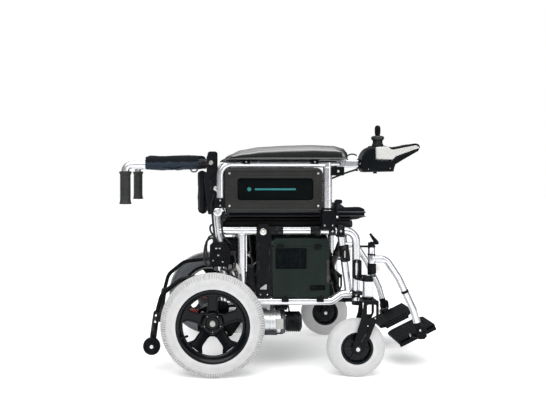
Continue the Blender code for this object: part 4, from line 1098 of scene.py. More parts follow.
def batteries():
    low, high, lid_z = Vector((187, -231, 233.5)), Vector((364, -118, 416.5)), 392
    outline = rect((low.x, low.z), (high.x, lid_z - 0.4), 6, 6)
    inset = rect((196.5, 321.5), (292.5, 386.5), 4, 5)
    handle = rect((302.5, 254.5), (351, 271.5), 5, 5)
    slab([outline, inset, handle], low.y, low.y + 6, "Y", 1.6)
    block(low + Vector((0, 4.5, 0)), (high.x, high.y, lid_z - 0.4), 5, 4)
    for i in range(4):  # ribs moulded low down on the outer face
        z = 244 + i * 5.2
        block((198.5, low.y - 0.6, z), (290, low.y + 1, z + 2.2), 0.5, 1)
    block((298.5, low.y - 0.7, 282), (305.5, low.y + 2, 388.5), 0.7, 2)
    for x in (188, 356):
        block((x, low.y - 0.6, 240), (x + 7, low.y + 2, 386), 0.6, 2)
    pair("battery_box", "frame", "black_plastic", "battery_shell", ["battery_case"])

    # The vent inset's floor and ribs, darker than the shell
    block((197.5, low.y + 1.4, 322.5), (291.5, low.y + 4.6, 385.5), 1)
    for i in range(9):
        x = 201 + i * 10.1
        block((x, low.y + 0.8, 326), (x + 3.5, low.y + 3, 382), 0.6, 1)
    # The handle slot's floor, near black: painted shade in the recess
    block((301.5, low.y + 3, 253.5), (352, low.y + 5.6, 272.5), 0.4, 1)
    pair("battery_vents", "frame", "black_plastic", "battery_inset_and_slot_shade")

    body = [
        (low.x, lid_z), (high.x, lid_z), (high.x, 408), (high.x - 10, 416.3), (low.x + 10, 416.3),
        (low.x, 408),
    ]
    slab(flat(body, 3, 4), low.y, high.y, "Y", 1.8)
    block((230, low.y - 0.6, 401), (320, low.y + 1, 406), 0.8, 2)
    for i in range(6):
        x = 244.5 + i * 11.8
        block((x, -205, 416), (x + 5, -195, 416.8), 0.3, 1)
    pair("battery_cover", "frame", "black_plastic", "battery_shell", ["battery_lid"])

    for x in (202, 318):
        block((x, low.y - 3, 383), (x + 20, low.y + 3, 399), 1.2, 3)
    for x in (216, 325):
        block((x, low.y + 1, 218), (x + 22, low.y + 18, 235), 2, 3)
        block((x + 5, low.y - 1, 223), (x + 17, low.y + 4, 240), 1.2, 2)
    pair("battery_latches", "frame", "black_plastic", "black_plastic")

    block((355.5, low.y - 0.9, 280), (363, low.y + 1, 350), 0.4, 1)
    pair("battery_marker", "frame", "black_plastic", "dim_label")


def electronics():
    block((2, -194.5, 318), (86, -124.5, 412), 3, 3)
    for i in range(10):
        x = 7 + i * 7.8
        block((x, -126.2, 323.5), (x + 2.4, -112.2, 406.5), 0.6, 1)
    for i in range(8):
        z = 325 + i * 10.6
        block((6, -196, z), (82, -194, z + 4.5), 0.7, 2)
    block((22.5, -200, 396), (65.5, -190, 408), 1.2)
    put("controller", "frame_right", "black_plastic", "black_plastic", ["power_module"])
    for x, z, w in ((7, 322.5, 17), (29, 322.5, 17), (51, 322.5, 11), (66, 322.5, 14)):
        block((x, -201.2, z - 10), (x + w, -190, z + 8), 1.2, 2)
    block((12, -201.8, 372), (30, -194, 380), 1)
    put("controller_plugs", "frame_right", "light_plastic", "white_plastic")
    block((57, -201.6, 360), (76, -195, 374), 1.4)
    put("controller_socket", "frame_right", "black_plastic", "dim_label")
    looms = (
        ("loom_black", "wire_black", "black_plastic", (
            ([
                (16, -196, 313), (16, -198, 296), (30, -196, 276), (56, -190, 272), (70, -186, 286),
                (56, -184, 300), (42, -188, 284), (60, -192, 260), (98, -202, 252), (150, -207, 248),
                (189, -204, 260),
            ], 3.4),
            ([
                (36, -196, 313), (38, -199, 292), (50, -201, 266), (80, -202, 256), (120, -208, 286),
                (160, -208, 330), (182, -206, 370), (189, -202, 382),
            ], 3),
            ([(20, -199, 404), (6, -201, 420), (-6, -196, 440), (0, -188, 456), (40, -170, 450)], 3.2),
        )),
        ("loom_grey", "wire_grey", "light_plastic", (
            ([
                (56, -196, 313), (58, -201, 298), (70, -202, 278), (64, -201, 264), (82, -204, 248),
                (125, -208, 244), (190, -206, 248),
            ], 2.4),
            ([
                (73, -196, 313), (76, -200, 300), (88, -201, 290), (110, -206, 310), (140, -208, 340),
                (189, -206, 350),
            ], 2.2),
        )),
        ("loom_red", "wire_red", "lever_plastic", (
            ([
                (40, -197, 314), (44, -202, 300), (56, -204, 280), (78, -203, 268), (120, -208, 280),
                (162, -208, 340), (189, -206, 366),
            ], 2.2),
        )),
    )
    for name, look, slot, runs in looms:
        for points, radius in runs:
            sweep(spline(points, 7), radius, 10)
        put(name, "frame_right", slot, look)
    block((96, -196, 244), (118, -180, 258), 2, 2)
    sweep(spline([(70, -220, 340), (82, -223, 318), (86, -224, 306)], 5), 5, 10)
    put("loom_sleeves", "frame_right", "light_plastic", "light_shell")

    # Junction box outboard of the cane, its plugs, and the leads that loop round it
    near = FRAME_Y - 15
    case = flat([(-8, 330), (48, 330), (54, 340), (54, 388), (42, 406), (2, 406), (-8, 396)], 5, 4)
    slab(case, near - 15, near, "Y", 2.5)
    for i in range(7):
        x = -2 + i * 7.6
        block((x, near - 17, 338), (x + 3.2, near - 14, 372), 0.9, 2)
    block((4, near - 19, 380), (34, near - 14, 398), 2.5, 3)
    block((12, near - 0.5, 350), (32, FRAME_Y + 13, 390), 2, 2)
    put("junction_box", "frame_right", "black_plastic", "black_plastic")
    for x, z, w in ((8, 385.5, 7), (20, 385.5, 5), (0, 348, 4), (29, 344, 5), (15, 364, 6)):
        block((x, near - 20.2, z), (x + w, near - 16.5, z + 3.6), 0.8, 2)
    put("junction_plugs", "frame_right", "light_plastic", "white_plastic")
    runs = (
        ([
            (8, near - 6, 406), (0, near - 8, 418), (-16, near - 7, 410), (-24, near - 6, 382),
            (-24, near - 6, 354), (-18, near - 6, 334), (-4, near - 6, 334),
        ], 3.4),
        ([
            (16, near - 8, 406), (6, near - 10, 424), (-10, near - 9, 422), (-18, near - 8, 396),
            (-16, near - 9, 364), (-10, near - 9, 350), (-6, near - 8, 346),
        ], 3),
        ([
            (30, near - 6, 331), (32, near - 6, 322), (48, near - 4, 318), (68, near + 1, 326),
            (72, near + 8, 350), (66, near + 20, 370),
        ], 3.6),
        ([
            (6, FRAME_Y - 16, 554), (-2, FRAME_Y - 16.2, 520), (1, FRAME_Y - 16.5, 480),
            (5, FRAME_Y - 17, 440), (8, FRAME_Y - 19, 420), (14, FRAME_Y - 20, 405),
        ], 3.6),
    )
    for points, radius in runs:
        sweep(spline(points, 8), radius, 12)
    put("junction_leads", "frame_right", "black_plastic", "wire_black", even=False)


# ---------------------------------------------------------------- back


def ruffle(point, scale, size, seed=0):
    """A small displacement for creases in cloth, smooth and the same each run."""
    at = point * (scale * MM) + Vector((seed, seed * 1.7, 0))
    return noise.fractal(at, 0.9, 2.1, 4) * size


def pillow(across, along, place):
    """A closed soft sheet: place(u, v, side) gives its face on side -1 or 1 for u and v from 0 to 1."""
    grids = []
    for side in (-1, 1):
        grids.append([
            [bm.verts.new(place(i / across, j / along, side)) for j in range(along + 1)]
            for i in range(across + 1)
        ])
    for grid in grids:
        for i in range(across):
            for j in range(along):
                bm.faces.new((grid[i][j], grid[i + 1][j], grid[i + 1][j + 1], grid[i][j + 1]))
    low, high = grids
    rim = [(i, 0) for i in range(across)] + [(across, j) for j in range(along)]
    rim += [(i, along) for i in range(across, 0, -1)] + [(0, j) for j in range(along, 0, -1)]
    for k, (i, j) in enumerate(rim):
        m, n = rim[(k + 1) % len(rim)]
        bm.faces.new((low[i][j], low[m][n], high[m][n], high[i][j]))


def swell(u, v):
    """Thickness share of a padded sheet, full inside and thin at its edges."""
    edge = min(1, 16 * u * (1 - u)) * min(1, 16 * v * (1 - v))
    return max(0, edge) ** 0.35


def backs():
    # Folded upper back: canes and grips
    line = fillet([(9.5, FRAME_Y, 652.2), (GRIP_X, FRAME_Y, 645), (GRIP_X, FRAME_Y, 538.5)], 18, 10)
    sweep(line, FRAME_R, 28, first=(0, 1, 0))
    pair("upper_cane", "back", "frame_tube", "silver_tube", ["back_cane"], sharp=60, even=False)
    grip = [(12.6, 0), (12.6, 98.5), (17, 99.2), (19.6, 97.2), (19.4, 93.5), (17.4, 90.5)]
    for i in range(11):
        z = 86 - i * 7.2
        grip += [(17.2, z), (16, z - 1), (16, z - 2.6), (17.2, z - 3.6)]
    grip += [(17.4, 3), (19.4, -1), (19.2, -3), (16.5, -4), (0, -4), (0, -0.5)]
    lathe(
        grip, on_axis((GRIP_X, FRAME_Y, 526.5), "Z"), 40, lambda a, r,
        z: (r - 0.5 * (cos(5 * a) > 0.7) * (4 < z < 90) * (r > 15), z),
    )
    pair("handgrip", "back", "grip_rubber", "grip_rubber", ["push_grip"], sharp=50)
    block((-16.5, FRAME_Y - 12.8, 640), (10.5, FRAME_Y + 12.8, 665), 3, 3)
    bar((-15, FRAME_Y, 651.5), (-46, FRAME_Y, 650.5), 13.3, 28, 1)
    pair("cane_hinge_block", "back", "black_steel", "black_coat")

    def sleeve(start, end, radius, size, seed):
        """Cloth wrapped round a cane, with slack creases."""
        start, end = Vector(start), Vector(end)
        way = (end - start).normalized()
        side = Vector((0, 1, 0))
        up = way.cross(side)
        rings = []
        for i in range(49):
            t = i / 48
            centre = start.lerp(end, t)
            ring = []
            for k in range(32):
                a = 2 * pi * k / 32
                out = side * cos(a) + up * sin(a)
                r = radius + size * 0.5 * min(1, 8 * t * (1 - t)) + ruffle(
                    centre + out * 20, 55, size * 0.5, seed,
                )
                if i in (0, 48):
                    r = radius - 0.4
                ring.append(bm.verts.new(centre + out * r))
            rings.append(ring)
        skin(rings)

    sleeve((-208, FRAME_Y, 656), (-43, FRAME_Y, 659), 15.2, 2, 3)
    pair("upper_back_sleeve", "back", "upholstery", "upholstery_back", even=False)
    sleeve((-209, FRAME_Y - 1.2, 646), (-43, FRAME_Y - 1.2, 650), 14.8, 3, 5)
    pair("upper_back_fold", "back", "upholstery", "upholstery_blue", even=False)
    sleeve((cane_x(490) - 1, FRAME_Y, 490), (cane_x(600) - 1, FRAME_Y, 600), 16.8, 2.2, 7)
    sleeve((cane_x(492) - 12, FRAME_Y, 492), (cane_x(618) - 14, FRAME_Y, 624), 15, 2.4, 8)
    pair("lower_back_sleeve", "frame", "upholstery", "upholstery_back", even=False)

    def upper(u, v, side):
        y = -206 + 412 * v
        x = -211.5 + (169.5 + 25 * smoothstep((182 - abs(y)) / 10)) * u
        thick = (17 if side > 0 else 13) * swell(u, v) + 1.5
        middle = 657 - 1.5 * sin(pi * v)
        point = Vector((x, y, middle + side * thick))
        point.z += ruffle(point, 16, 3, 2 + side)
        return point

    pillow(40, 72, upper)
    upper_panel = put(
        "upper_back_panel", "back_right", "upholstery", "upholstery_back", ["back_upholstery_upper"],
        even=False,
    )
    soft = [upper_panel]

    def flap(u, v, side):
        y = -228.5 + 457 * v
        x = -206 + (162 + 25 * smoothstep((193 - abs(y)) / 10)) * u
        drop = 4 * noise.noise(Vector((x * 0.06, 3.1, 0.4))) + 3 * sin(u * 9)
        hang = 635.5 + drop * (1 if v < 0.12 or v > 0.88 else 0.3)
        point = Vector((x, y, hang + side * 1.6 + 0.8 * min(1, 8 * v * (1 - v))))
        point.z += ruffle(point, 30, 1.5, 9)
        return point

    pillow(36, 60, flap)
    soft.append(put("upper_back_lining", "back_right", "upholstery", "upholstery_blue", even=False))

    def lower(u, v, side):
        z, y = 489.5 + 138.5 * u, -202 + 404 * v
        thick = 11.5 * swell(u, v) + 1.2
        sag = -4 * sin(pi * v)
        corner = 10 * max(0, 1 - u * 6) ** 2 * (1 if v < 0.06 or v > 0.94 else 0)
        point = Vector((-29 + sag + side * thick, y, z + corner))
        point.x += ruffle(point, 18, 3, 4 + side)
        return point

    pillow(34, 72, lower)
    lower_panel = put(
        "lower_back_panel", "frame_right", "upholstery", "upholstery_back", ["back_upholstery_lower"],
        even=False,
    )
    soft.append(lower_panel)
    for share in (0.03, 0.97):
        row = [Vector((-205 + 158 * i / 30, -200 + 400 * share, 670)) for i in range(31)]
        for a, b in zip(row, row[1:]):
            sweep([a.lerp(b, 0.05), a.lerp(b, 0.62)], 0.5, 5)
    soft.append(put("upper_back_stitching", "back_right", "upholstery", "piping", even=False))
    # Straps that hold the lower panel to the canes, and the pull cord under the folded back
    for z in (508, 548):
        x = cane_x(z)
        loop = [
            (-20, -196, z), (x - 20, -213, z), (x - 15, -225.5, z), (x, -229.5, z), (x + 15, -223.5, z),
            (x + 16.5, -210, z),
        ]
        sweep(spline(loop, 5), 7.5, 12, squash=0.16, first=(0, 0, 1))
    pair("back_straps", "frame", "upholstery", "webbing", even=False)
    cord = [
        (-66, -225, 634), (-67, -226.5, 630), (-64, -227.5, 625.5), (-58, -228, 623.5), (-51, -227.5, 625),
        (-47, -226.5, 629), (-47, -225, 634),
    ]
    sweep(spline(cord, 5), 2.2, 8)
    put("pull_loop", "back_right", "upholstery", "webbing", even=False)
    for piece in soft:
        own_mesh(piece)


drive_units()
batteries()
electronics()
backs()


# ---------------------------------------------------------------- seat


def stuffed(piece, pressure, cap):
    """Inflates a closed soft mesh by cloth simulation, moving no point further than the cap."""
    rest_remesh = piece.modifiers.new("remesh", "REMESH")
    rest_remesh.mode, rest_remesh.voxel_size = "VOXEL", 0.005
    bake(piece)
    rest = [vertex.co.copy() for vertex in piece.data.vertices]
    cloth = piece.modifiers.new("cloth", "CLOTH")
    cloth.settings.use_pressure = True
    cloth.settings.uniform_pressure_force = pressure
    cloth.settings.effector_weights.gravity = 0.0
    cloth.settings.quality = 5
    cloth.settings.tension_stiffness = cloth.settings.compression_stiffness = 20
    cloth.settings.bending_stiffness = 1.0
    cloth.point_cache.frame_start, cloth.point_cache.frame_end = 1, 20
    for step in range(1, 21):
        SCENE.frame_set(step)
    bake(piece)
    SCENE.frame_set(1)
    for vertex, old in zip(piece.data.vertices, rest):
        move = vertex.co - old
        if move.length > cap:
            vertex.co = old + move.normalized() * cap
    return piece


def bake(piece):
    """Makes what the modifiers give the piece's own mesh."""
    graph = bpy.context.evaluated_depsgraph_get()
    mesh = bpy.data.meshes.new_from_object(piece.evaluated_get(graph))
    piece.modifiers.clear()
    piece.data = mesh


def refine(piece):
    finer = piece.modifiers.new("finer", "SUBSURF")
    finer.levels = finer.render_levels = 1
    bake(piece)
    piece.data.shade_smooth()


def seats():
    low, high = Vector((49, -193, 479.5)), Vector((488, 193, 512.5))

    def sag(y):
        """How far the sling lets the seat down between its two tubes."""
        return 15 * max(0, 1 - (y / 193) ** 2)

    def top(u, v):
        """How far the cushion's upper face stands up between its edges."""
        return min(1, 8 * u * (1 - u)) ** 0.35 * min(1, 8 * v * (1 - v)) ** 0.35

    def cushion_face(u, v, side):
        pull = 4 * (sin(pi * u) + sin(pi * v)) - 4
        x = low.x + (high.x - low.x) * u + (0.5 - u) * 2 * max(0, pull) * 0.6
        y = low.y + (high.y - low.y) * v + (0.5 - v) * 2 * max(0, pull) * 0.6
        z = (low.z + high.z) / 2 + side * ((high.z - low.z) / 2 - 4 * (1 - top(u, v)))
        return Vector((x, y, z))

    pillow(48, 44, cushion_face)
    piece = finished("seat_pad", even=False)
    stuffed(piece, 4, 0.005)
    refine(piece)
    for vertex in piece.data.vertices:
        spot = vertex.co / MM
        spot.z = min(spot.z, 515) if spot.z > 490 else max(spot.z, 477.2)
        if spot.z > 500:
            spot.z += ruffle(spot, 14, 1.4, 1)
        spot.z -= sag(spot.y)
        vertex.co = spot * MM
    dress(piece, None, "upholstery_seat", ["seat_cushion"])
    piece.data.shade_smooth()
    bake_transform(piece)

    # Piped seams round both edges
    for z in (484.2, 497.2):
        ring = fillet([
            (low.x - 1, low.y - 2, z), (high.x + 1, low.y - 2, z), (high.x + 1, high.y + 2, z),
            (low.x - 1, high.y + 2, z),
        ], 20, 8, closed=True)
        fine = []
        for a, b in zip(ring, [*ring[1:], ring[0]]):
            steps = max(1, int((b - a).length / 12))
            fine += [a.lerp(b, i / steps) - UP * sag(a.lerp(b, i / steps).y) for i in range(steps)]
        sweep(fine, 1.7 if z > 490 else 1.2, 10, wrap=True)
    piping = finished("seat_piping", even=False)
    dress(piping, None, "piping")
    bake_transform(piping)

    def sling(u, v, side):
        x, y = 40.5 + 400 * u, -198.5 + 397 * v
        return Vector((x, y, 474.2 + side * 2.2 - sag(y) + ruffle(Vector((x, y, 0)), 20, 0.6, 6)))

    pillow(40, 44, sling)
    piece = finished("seat_sheet", even=False)
    dress(piece, None, "webbing", ["seat_sling"])
    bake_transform(piece)

    # The sling's hem is wrapped round each seat tube
    for letter, side in (("a", 1), ("b", -1)):
        y = side * BRACE_Y
        sweep(
            [(45 + 7.8 * i, y, BRACE_HIGH) for i in range(51)],
            [12.4 + 0.4 * sin(i * 1.3) for i in range(51)], 24,
        )
        put(f"seat_hem_{letter}", f"brace_{letter}", "upholstery", "webbing", even=False)


# ---------------------------------------------------------------- armrests


def armrests():
    loop = fillet([(24, ARM_Y, 506.2), (24, ARM_Y, 648), (391.5, ARM_Y, 648)], 35, 10)
    sweep(loop, 11, 24, first=(0, 1, 0))
    sweep([(ARM_POST_X, ARM_Y, 468), (ARM_POST_X, ARM_Y, 652)], 13.8, 28)
    bead((ARM_POST_X, ARM_Y, 637), UP, 13, 1.8)
    ring = mirrored([(6, -11.3), (12, -11.3), (13, -10)])
    lathe(ring, on_axis(ARM_PIVOT), 36)
    pair("arm_loop", "armrest", "frame_tube", "silver_tube", ["armrest_frame"], sharp=60, even=False)

    # Rear bracket on the loop, end plug, pad carriers
    block((8.5, ARM_Y - 13.5, 512), (38.5, ARM_Y + 13.5, 544), 3, 3)
    bar((388, ARM_Y, 648), (392.5, ARM_Y, 648), 11.3, 24, 2)
    for x in (90, 300):
        block((x, ARM_Y - 12, 647), (x + 26, ARM_Y + 12, 661), 2, 3)
    bar((ARM_POST_X, ARM_Y, 506), (ARM_POST_X, ARM_Y, 514), 15, 28, 2)
    pair("arm_brackets", "armrest", "black_plastic", "black_plastic")

    for x, z in ((23.5, 520), (23.5, 536), (103, 654), (313, 654)):
        screw((x, ARM_Y - 12.8, z), OUT, 3)
    for x, z in ((52, 519), (52, 619), (324, 519), (324, 619)):
        screw((x, ARM_Y - 9.8, z), OUT, 3.4)
    for z in (535, 580):
        bar((ARM_POST_X, ARM_Y - 13, z), (ARM_POST_X, ARM_Y - 14.6, z), 4.4, 18, 0.5)
    pair("arm_screws", "armrest", "black_steel", "zinc")

    # Side panel: raised border, sunk field
    border = rect((37.2, 502.2), (338.5, 636), 20, 8)
    field = rect((76.5, 536), (309, 604), 10, 6)
    slab([border, field], ARM_Y - 10, ARM_Y + 2, "Y", 2.4)
    inner = rect((71, 530.5), (314.5, 609.5), 13, 6)
    slab([inner, field], ARM_Y - 10.8, ARM_Y - 8.5, "Y", 1)
    ridge = rect((43, 507.5), (333, 630.5), 16, 8)
    path = [(x, ARM_Y - 9.6, z) for x, z in ridge]
    sweep(path, 1.4, 8, wrap=True)
    for i in range(5):
        z = 545 + i * 12.5
        block((48, ARM_Y - 11, z), (62, ARM_Y - 9, z + 4.5), 1, 2)
    for z in (516.5, 615):
        block((80, ARM_Y - 10.6, z), (305, ARM_Y - 9, z + 4), 1, 2)
    pair("panel_border", "armrest", "panel_plastic", "panel_grey", ["side_panel"])

    slab([rect((70, 530), (315, 610), 12, 5)], ARM_Y - 4.2, ARM_Y + 1.5, "Y", 0.8)
    for i in range(3):
        block((80.5 + i * 4.6, ARM_Y - 5.2, 542), (82.9 + i * 4.6, ARM_Y - 3.6, 598), 0.6, 1)
    slab([rect((42, 507), (333, 631), 16, 6)], ARM_Y + 2, ARM_Y + 3.6, "Y", 0.6)
    pair("panel_field", "armrest", "panel_plastic", "panel_black")

    slab([rect((130, 567.2), (256, 572.8), 2.6, 4)], ARM_Y - 5, ARM_Y - 4, "Y", 0.3)
    slab([circle(113, 570, 6.2, 28)], ARM_Y - 5, ARM_Y - 4, "Y", 0.3)
    pair("panel_stripe", "armrest", "panel_plastic", "teal_stripe")

    # Arm pad: a crowned self-skinned moulding on a base plate

    def crest(x):
        table = (
            (36, 665.5), (50, 674.5), (85, 689.5), (140, 698.5), (220, 704), (310, 705.5), (370, 703),
            (400, 695), (411, 683),
        )
        for (a, za), (b, zb) in zip(table, table[1:]):
            if x <= b:
                return za + (zb - za) * smoothstep((x - a) / (b - a)) * 0.35 + (zb - za) * 0.65 * max(
                    0, (x - a) / (b - a),
                )
        return table[-1][1]

    rings, around = [], 40
    for i in range(61):
        t = i / 60
        x = 36.8 + (410.5 - 36.8) * (0.5 - 0.5 * cos(pi * t)) if i not in (0, 60) else (36, 411)[i == 60]
        peak, base = crest(x), 660.5
        ends = min(1, (x - 35) / 26, (412 - x) / 20)
        half = 25.5 * (0.6 + 0.4 * max(0.02, ends) ** 0.5)
        ring = []
        for k in range(around):
            a = 2 * pi * k / around
            c, s = cos(a), sin(a)
            y = PAD_Y + half * copysign(abs(c) ** (0.78 if s > 0 else 0.3), c)
            waist = base + 0.22 * (peak - base)
            z = waist + (peak - waist) * s**0.86 if s > 0 else waist - (waist - base) * abs(s) ** 0.4
            point = Vector((x, y, z))
            point.z += ruffle(point, 24, 0.7, 8) * (s > 0.1)
            ring.append(bm.verts.new(point))
        rings.append(ring)
    skin(rings)
    pads = pair("arm_pad", "armrest", "pad_skin", "pad_skin", ["armrest_pad"], sharp=70, even=False)
    seam = fillet(
        [(42, PAD_Y - 25, 0), (408, PAD_Y - 25, 0), (408, PAD_Y + 25, 0), (42, PAD_Y + 25, 0)], 14, 8,
        closed=True,
    )
    sweep([(p.x, p.y, 668 + 0.8 * (p.x < 100)) for p in seam], 1.1, 8, wrap=True)
    block((50, PAD_Y - 20, 659.7), (400, PAD_Y + 20, 662.5), 0.8, 2)
    pair("arm_pad_seam", "armrest", "pad_skin", "panel_black")

    # Latch in front of the socket
    x, y, z = LATCH
    ring = mirrored([(3.4, -11.8), (4.8, -11.8), (5.5, -11)])
    lathe(ring, on_axis(LATCH), 24)
    block((x - 3.8, y - 9.8, z + 3), (x + 3.8, y + 9.8, z + 50), 2, 3)
    block((x - 1.8, y - 11, z + 40), (x + 18, y + 11, z + 52), 3.4, 4)
    for i in range(3):
        block((x + 2 + i * 4.5, y - 9.5, z + 51.5), (x + 3.8 + i * 4.5, y + 9.5, z + 52.5), 0.4, 1)
    pair("arm_latch", "armrest_latch", "black_plastic", "black_plastic", ["armrest_latch"])


# ---------------------------------------------------------------- legrests


LEG_ROUTE = ((500, 350), (545, 350), (585, 290), (632, 190), (653, 113))


def legrests():
    y = HANGER_Y
    leg = fillet([(x, y, z) for x, z in LEG_ROUTE], 30, 9)
    sweep(leg, 11, 26, first=(0, 1, 0))
    ring = [(5.8, 300.6), (10.2, 300.6), (11, 301.4), (11, 385.6), (10.2, 386.4), (5.8, 386.4)]
    lathe(ring, on_axis((HANGER_X, y, 0), "Z"), 28)
    bead((HANGER_X + 10.5, y, 350), ALONG, 10.8, 1.8)
    pair("leg_tube", "hanger", "frame_tube", "silver_tube", ["legrest_hanger"], sharp=60, even=False)

    for low, high in ((302, 337), (362, 367)):
        bar((HANGER_X, y, low), (HANGER_X, y, high), 12.4, 28, 1.2)
    high, low = (Vector((x, y, z)) for x, z in (LEG_ROUTE[2], LEG_ROUTE[3]))
    upper, lower = (low - high).normalized(), (Vector((653, y, 113)) - low).normalized()
    collars = (
        (high.lerp(low, 0.42), upper, 5, 11.8), (low.lerp(Vector((653, y, 113)), 0.74), lower, 20, 11.4),
    )
    for at, way, half, radius in collars:
        bar(at - way * half, at + way * half, radius, 28, 1.5)
    # Housing over the footplate's hinge
    house = flat([(-11, -12), (11, -12), (15.5, 6), (13, 29), (-8, 33), (-17, 12)], 6, 5)
    slab([(FOOT_HINGE.x + u, FOOT_HINGE.z + v + 7) for u, v in house], y - 15, y + 3.5, "Y", 3)
    hinge = FOOT_HINGE
    block((hinge.x - 10, y - 11.5, hinge.z - 5), (hinge.x + 10, hinge.y - 1, hinge.z + 6.2), 2, 3)
    bar(hinge - ALONG * 11, hinge + ALONG * 11, 7.5, 24, 0.8)
    pair("leg_fittings", "hanger", "black_plastic", "black_plastic")

    bar(hinge - ALONG * 25.5, hinge + ALONG * 25.5, 3.5, 16)
    for side in (-1, 1):
        bar(hinge + ALONG * side * 25, hinge + ALONG * side * 26.8, 5.2, 18, 0.5)
    screw(Vector((648, y - 15.2, 129)), OUT, 3.2)
    block((HANGER_X + 12, y - 8, 305), (HANGER_X + 26, y + 8, 334), 2.2, 3)
    screw((HANGER_X + 19, y - 8.2, 320), OUT, 2.6)
    pair("leg_fasteners", "hanger", "black_steel", "zinc")

    # Release lever on the upper receiver
    base = 392.4
    ring = [(0, base), (10.5, base), (11, base + 1), (11, base + 8), (9, base + 10), (0, base + 10)]
    lathe(ring, on_axis((HANGER_X, y, 0), "Z"), 28)
    block((HANGER_X - 4, y - 5, base + 3), (HANGER_X + 22, y + 5, base + 12), 2.2, 3)
    horn = spline([
        (HANGER_X + 17, y, base + 6), (HANGER_X + 12, y, base + 15), (HANGER_X + 4, y, base + 25),
        (HANGER_X - 4, y, base + 37),
    ], 5)
    sweep(horn, [7.8 - 4.2 * i / (len(horn) - 1) for i in range(len(horn))], 16)
    pair("leg_release", "legrest_latch", "black_plastic", "black_plastic", ["legrest_latch"])

    # Footplate: a sloping sole with rubbed ribs, a toe lip and a heel edge
    sole_frame = Matrix.Translation(FOOT_HINGE) @ Matrix.Rotation(-FOOT_TILT, 4, "Y")
    outline = flat(
        [(-65.5, 13), (-65.5, 138), (-50, 152), (40, 152), (65.5, 130), (65.5, 13)], [6, 8, 8, 12, 12, 6],
        5,
    )
    slab(outline, -4, 5.2, "Z", 2.2, sole_frame)
    for i in range(11):
        x = -56 + i * 10.4
        block((x, 24, 4.5), (x + 4.6, 134 - 4 * (i > 8), 7.1), 1.2, 2, sole_frame)
    for row in range(2):
        block((-60, 17.5 + row * 121, 4.5), (56 - row * 18, 20.5 + row * 121, 7), 1, 2, sole_frame)
    block((-64, 13, -15), (64, 18.5, 7), 2.2, 3, sole_frame)
    block((-48, 145, -11), (40, 150, 6), 2, 2, sole_frame)
    for i in range(4):  # stiffening webs below
        along = 35 + i * 30
        block((-60, along, -8.5), (50, along + 3, -3), 1, 1, sole_frame)
    for side in (-1, 1):
        near, far = hinge + ALONG * side * 11.5, hinge + ALONG * side * 24.5
        bar(near, far, 7.5, 24, 0.8)
        rise = side * tan(FOOT_TILT) * 24.5
        block(
            (min(near.x, far.x), hinge.y, hinge.z + min(-6, rise)),
            (max(near.x, far.x), hinge.y + 22, hinge.z + max(6, rise)), 1.5, 2,
        )
    pair("foot_sole", "footplate", "black_plastic", "black_plastic", ["footplate"])


# ---------------------------------------------------------------- anti-tip wheels


def anti_tippers():
    y = FRAME_Y
    path = fillet([(20, y, 300), (-98, y, 288), (-158, y, 240), (-176, y, 170), (-187, y, 88)], 50, 9)
    path[0] = Vector((cane_x(300) - FRAME_R - 4.5, y, 301.3))
    sweep(path, 7, 18, first=(0, 1, 0))
    sweep([(x, y, z) for x, z in ((-173.5, 185), (-176.5, 168), (-187.5, 88))], 10.4, 22, first=(0, 1, 0))
    bar(TIP_WHEEL + Vector((0, 29, 0)), TIP_WHEEL + Vector((0, 12, 0)), 12.4, 28, 1.5)
    block((path[0].x - 1, y - 10, 288), (path[0].x + 20, y + 10, 315), 3, 3)
    pair("tip_bar", "frame", "black_steel", "black_coat", ["antitip_bar"], sharp=50)
    bar(TIP_WHEEL + Vector((0, 22, 0)), TIP_WHEEL - Vector((0, 10.8, 0)), 4.5, 18)
    bolt(TIP_WHEEL - Vector((0, 9.8, 0)), OUT, 3.8, 2.2)
    for z in (176, 156):
        bar((-175.5 - (176 - z) * 0.12, y - 10, z), (-175.5 - (176 - z) * 0.12, y - 12.2, z), 3.4, 16, 0.6)
    pair("tip_axle", "frame", "black_steel", "zinc")
    roller = mirrored(
        [(5.4, -9.4), (10, -9.4), (10.8, -7), (18, -6.2), (20.5, -9.2), (24.5, -9.4), (26.5, -7), (27, -3)]
    )
    lathe(roller, on_axis(TIP_WHEEL), 48)
    for out in spokes(5):
        sweep([TIP_WHEEL + out * 9.5 + OUT * 6.6, TIP_WHEEL + out * 20 + OUT * 6.6], 1.3, 8)
    pair("tip_roller", "antitip_wheel", "grip_rubber", "black_plastic", ["antitip_wheel"])


# ---------------------------------------------------------------- joystick


def slope(along, across=0):
    """The keypad's own frame: X along its slope, Z out of it."""
    return Matrix.Translation(
        (546.5, ARM_Y, 697)
    ) @ Matrix.Rotation(-NOSE_TILT, 4, "Y") @ Matrix.Translation((along, across, 0))


def between(table, x):
    """The height of a broken line at x."""
    for (a, low), (b, high) in zip(table, table[1:]):
        if x <= b:
            return low + (high - low) * max(0, (x - a) / (b - a))
    return table[-1][1]


def loft(stations, lower, upper, half, power=0.22):
    """A closed body along X with rounded-rectangle sections between two broken lines."""
    rings = []
    first, last = stations[0], stations[-1]
    for x in stations:
        low, high = between(lower, x), between(upper, x)
        ends = min(1, (x - first + 0.4) / 6, (last - x + 0.4) / 4)
        wide = half * (0.8 + 0.2 * ends**0.5)
        ring = []
        for k in range(44):
            a = 2 * pi * (k + 0.5) / 44
            c, s = cos(a), sin(a)
            tall = max(0.6, (high - low) / 2) * (0.75 + 0.25 * ends**0.5)
            y = ARM_Y + wide * copysign(abs(c) ** power, c)
            ring.append(bm.verts.new((x, y, (low + high) / 2 + tall * copysign(abs(s) ** power, s))))
        rings.append(ring)
    skin(rings)


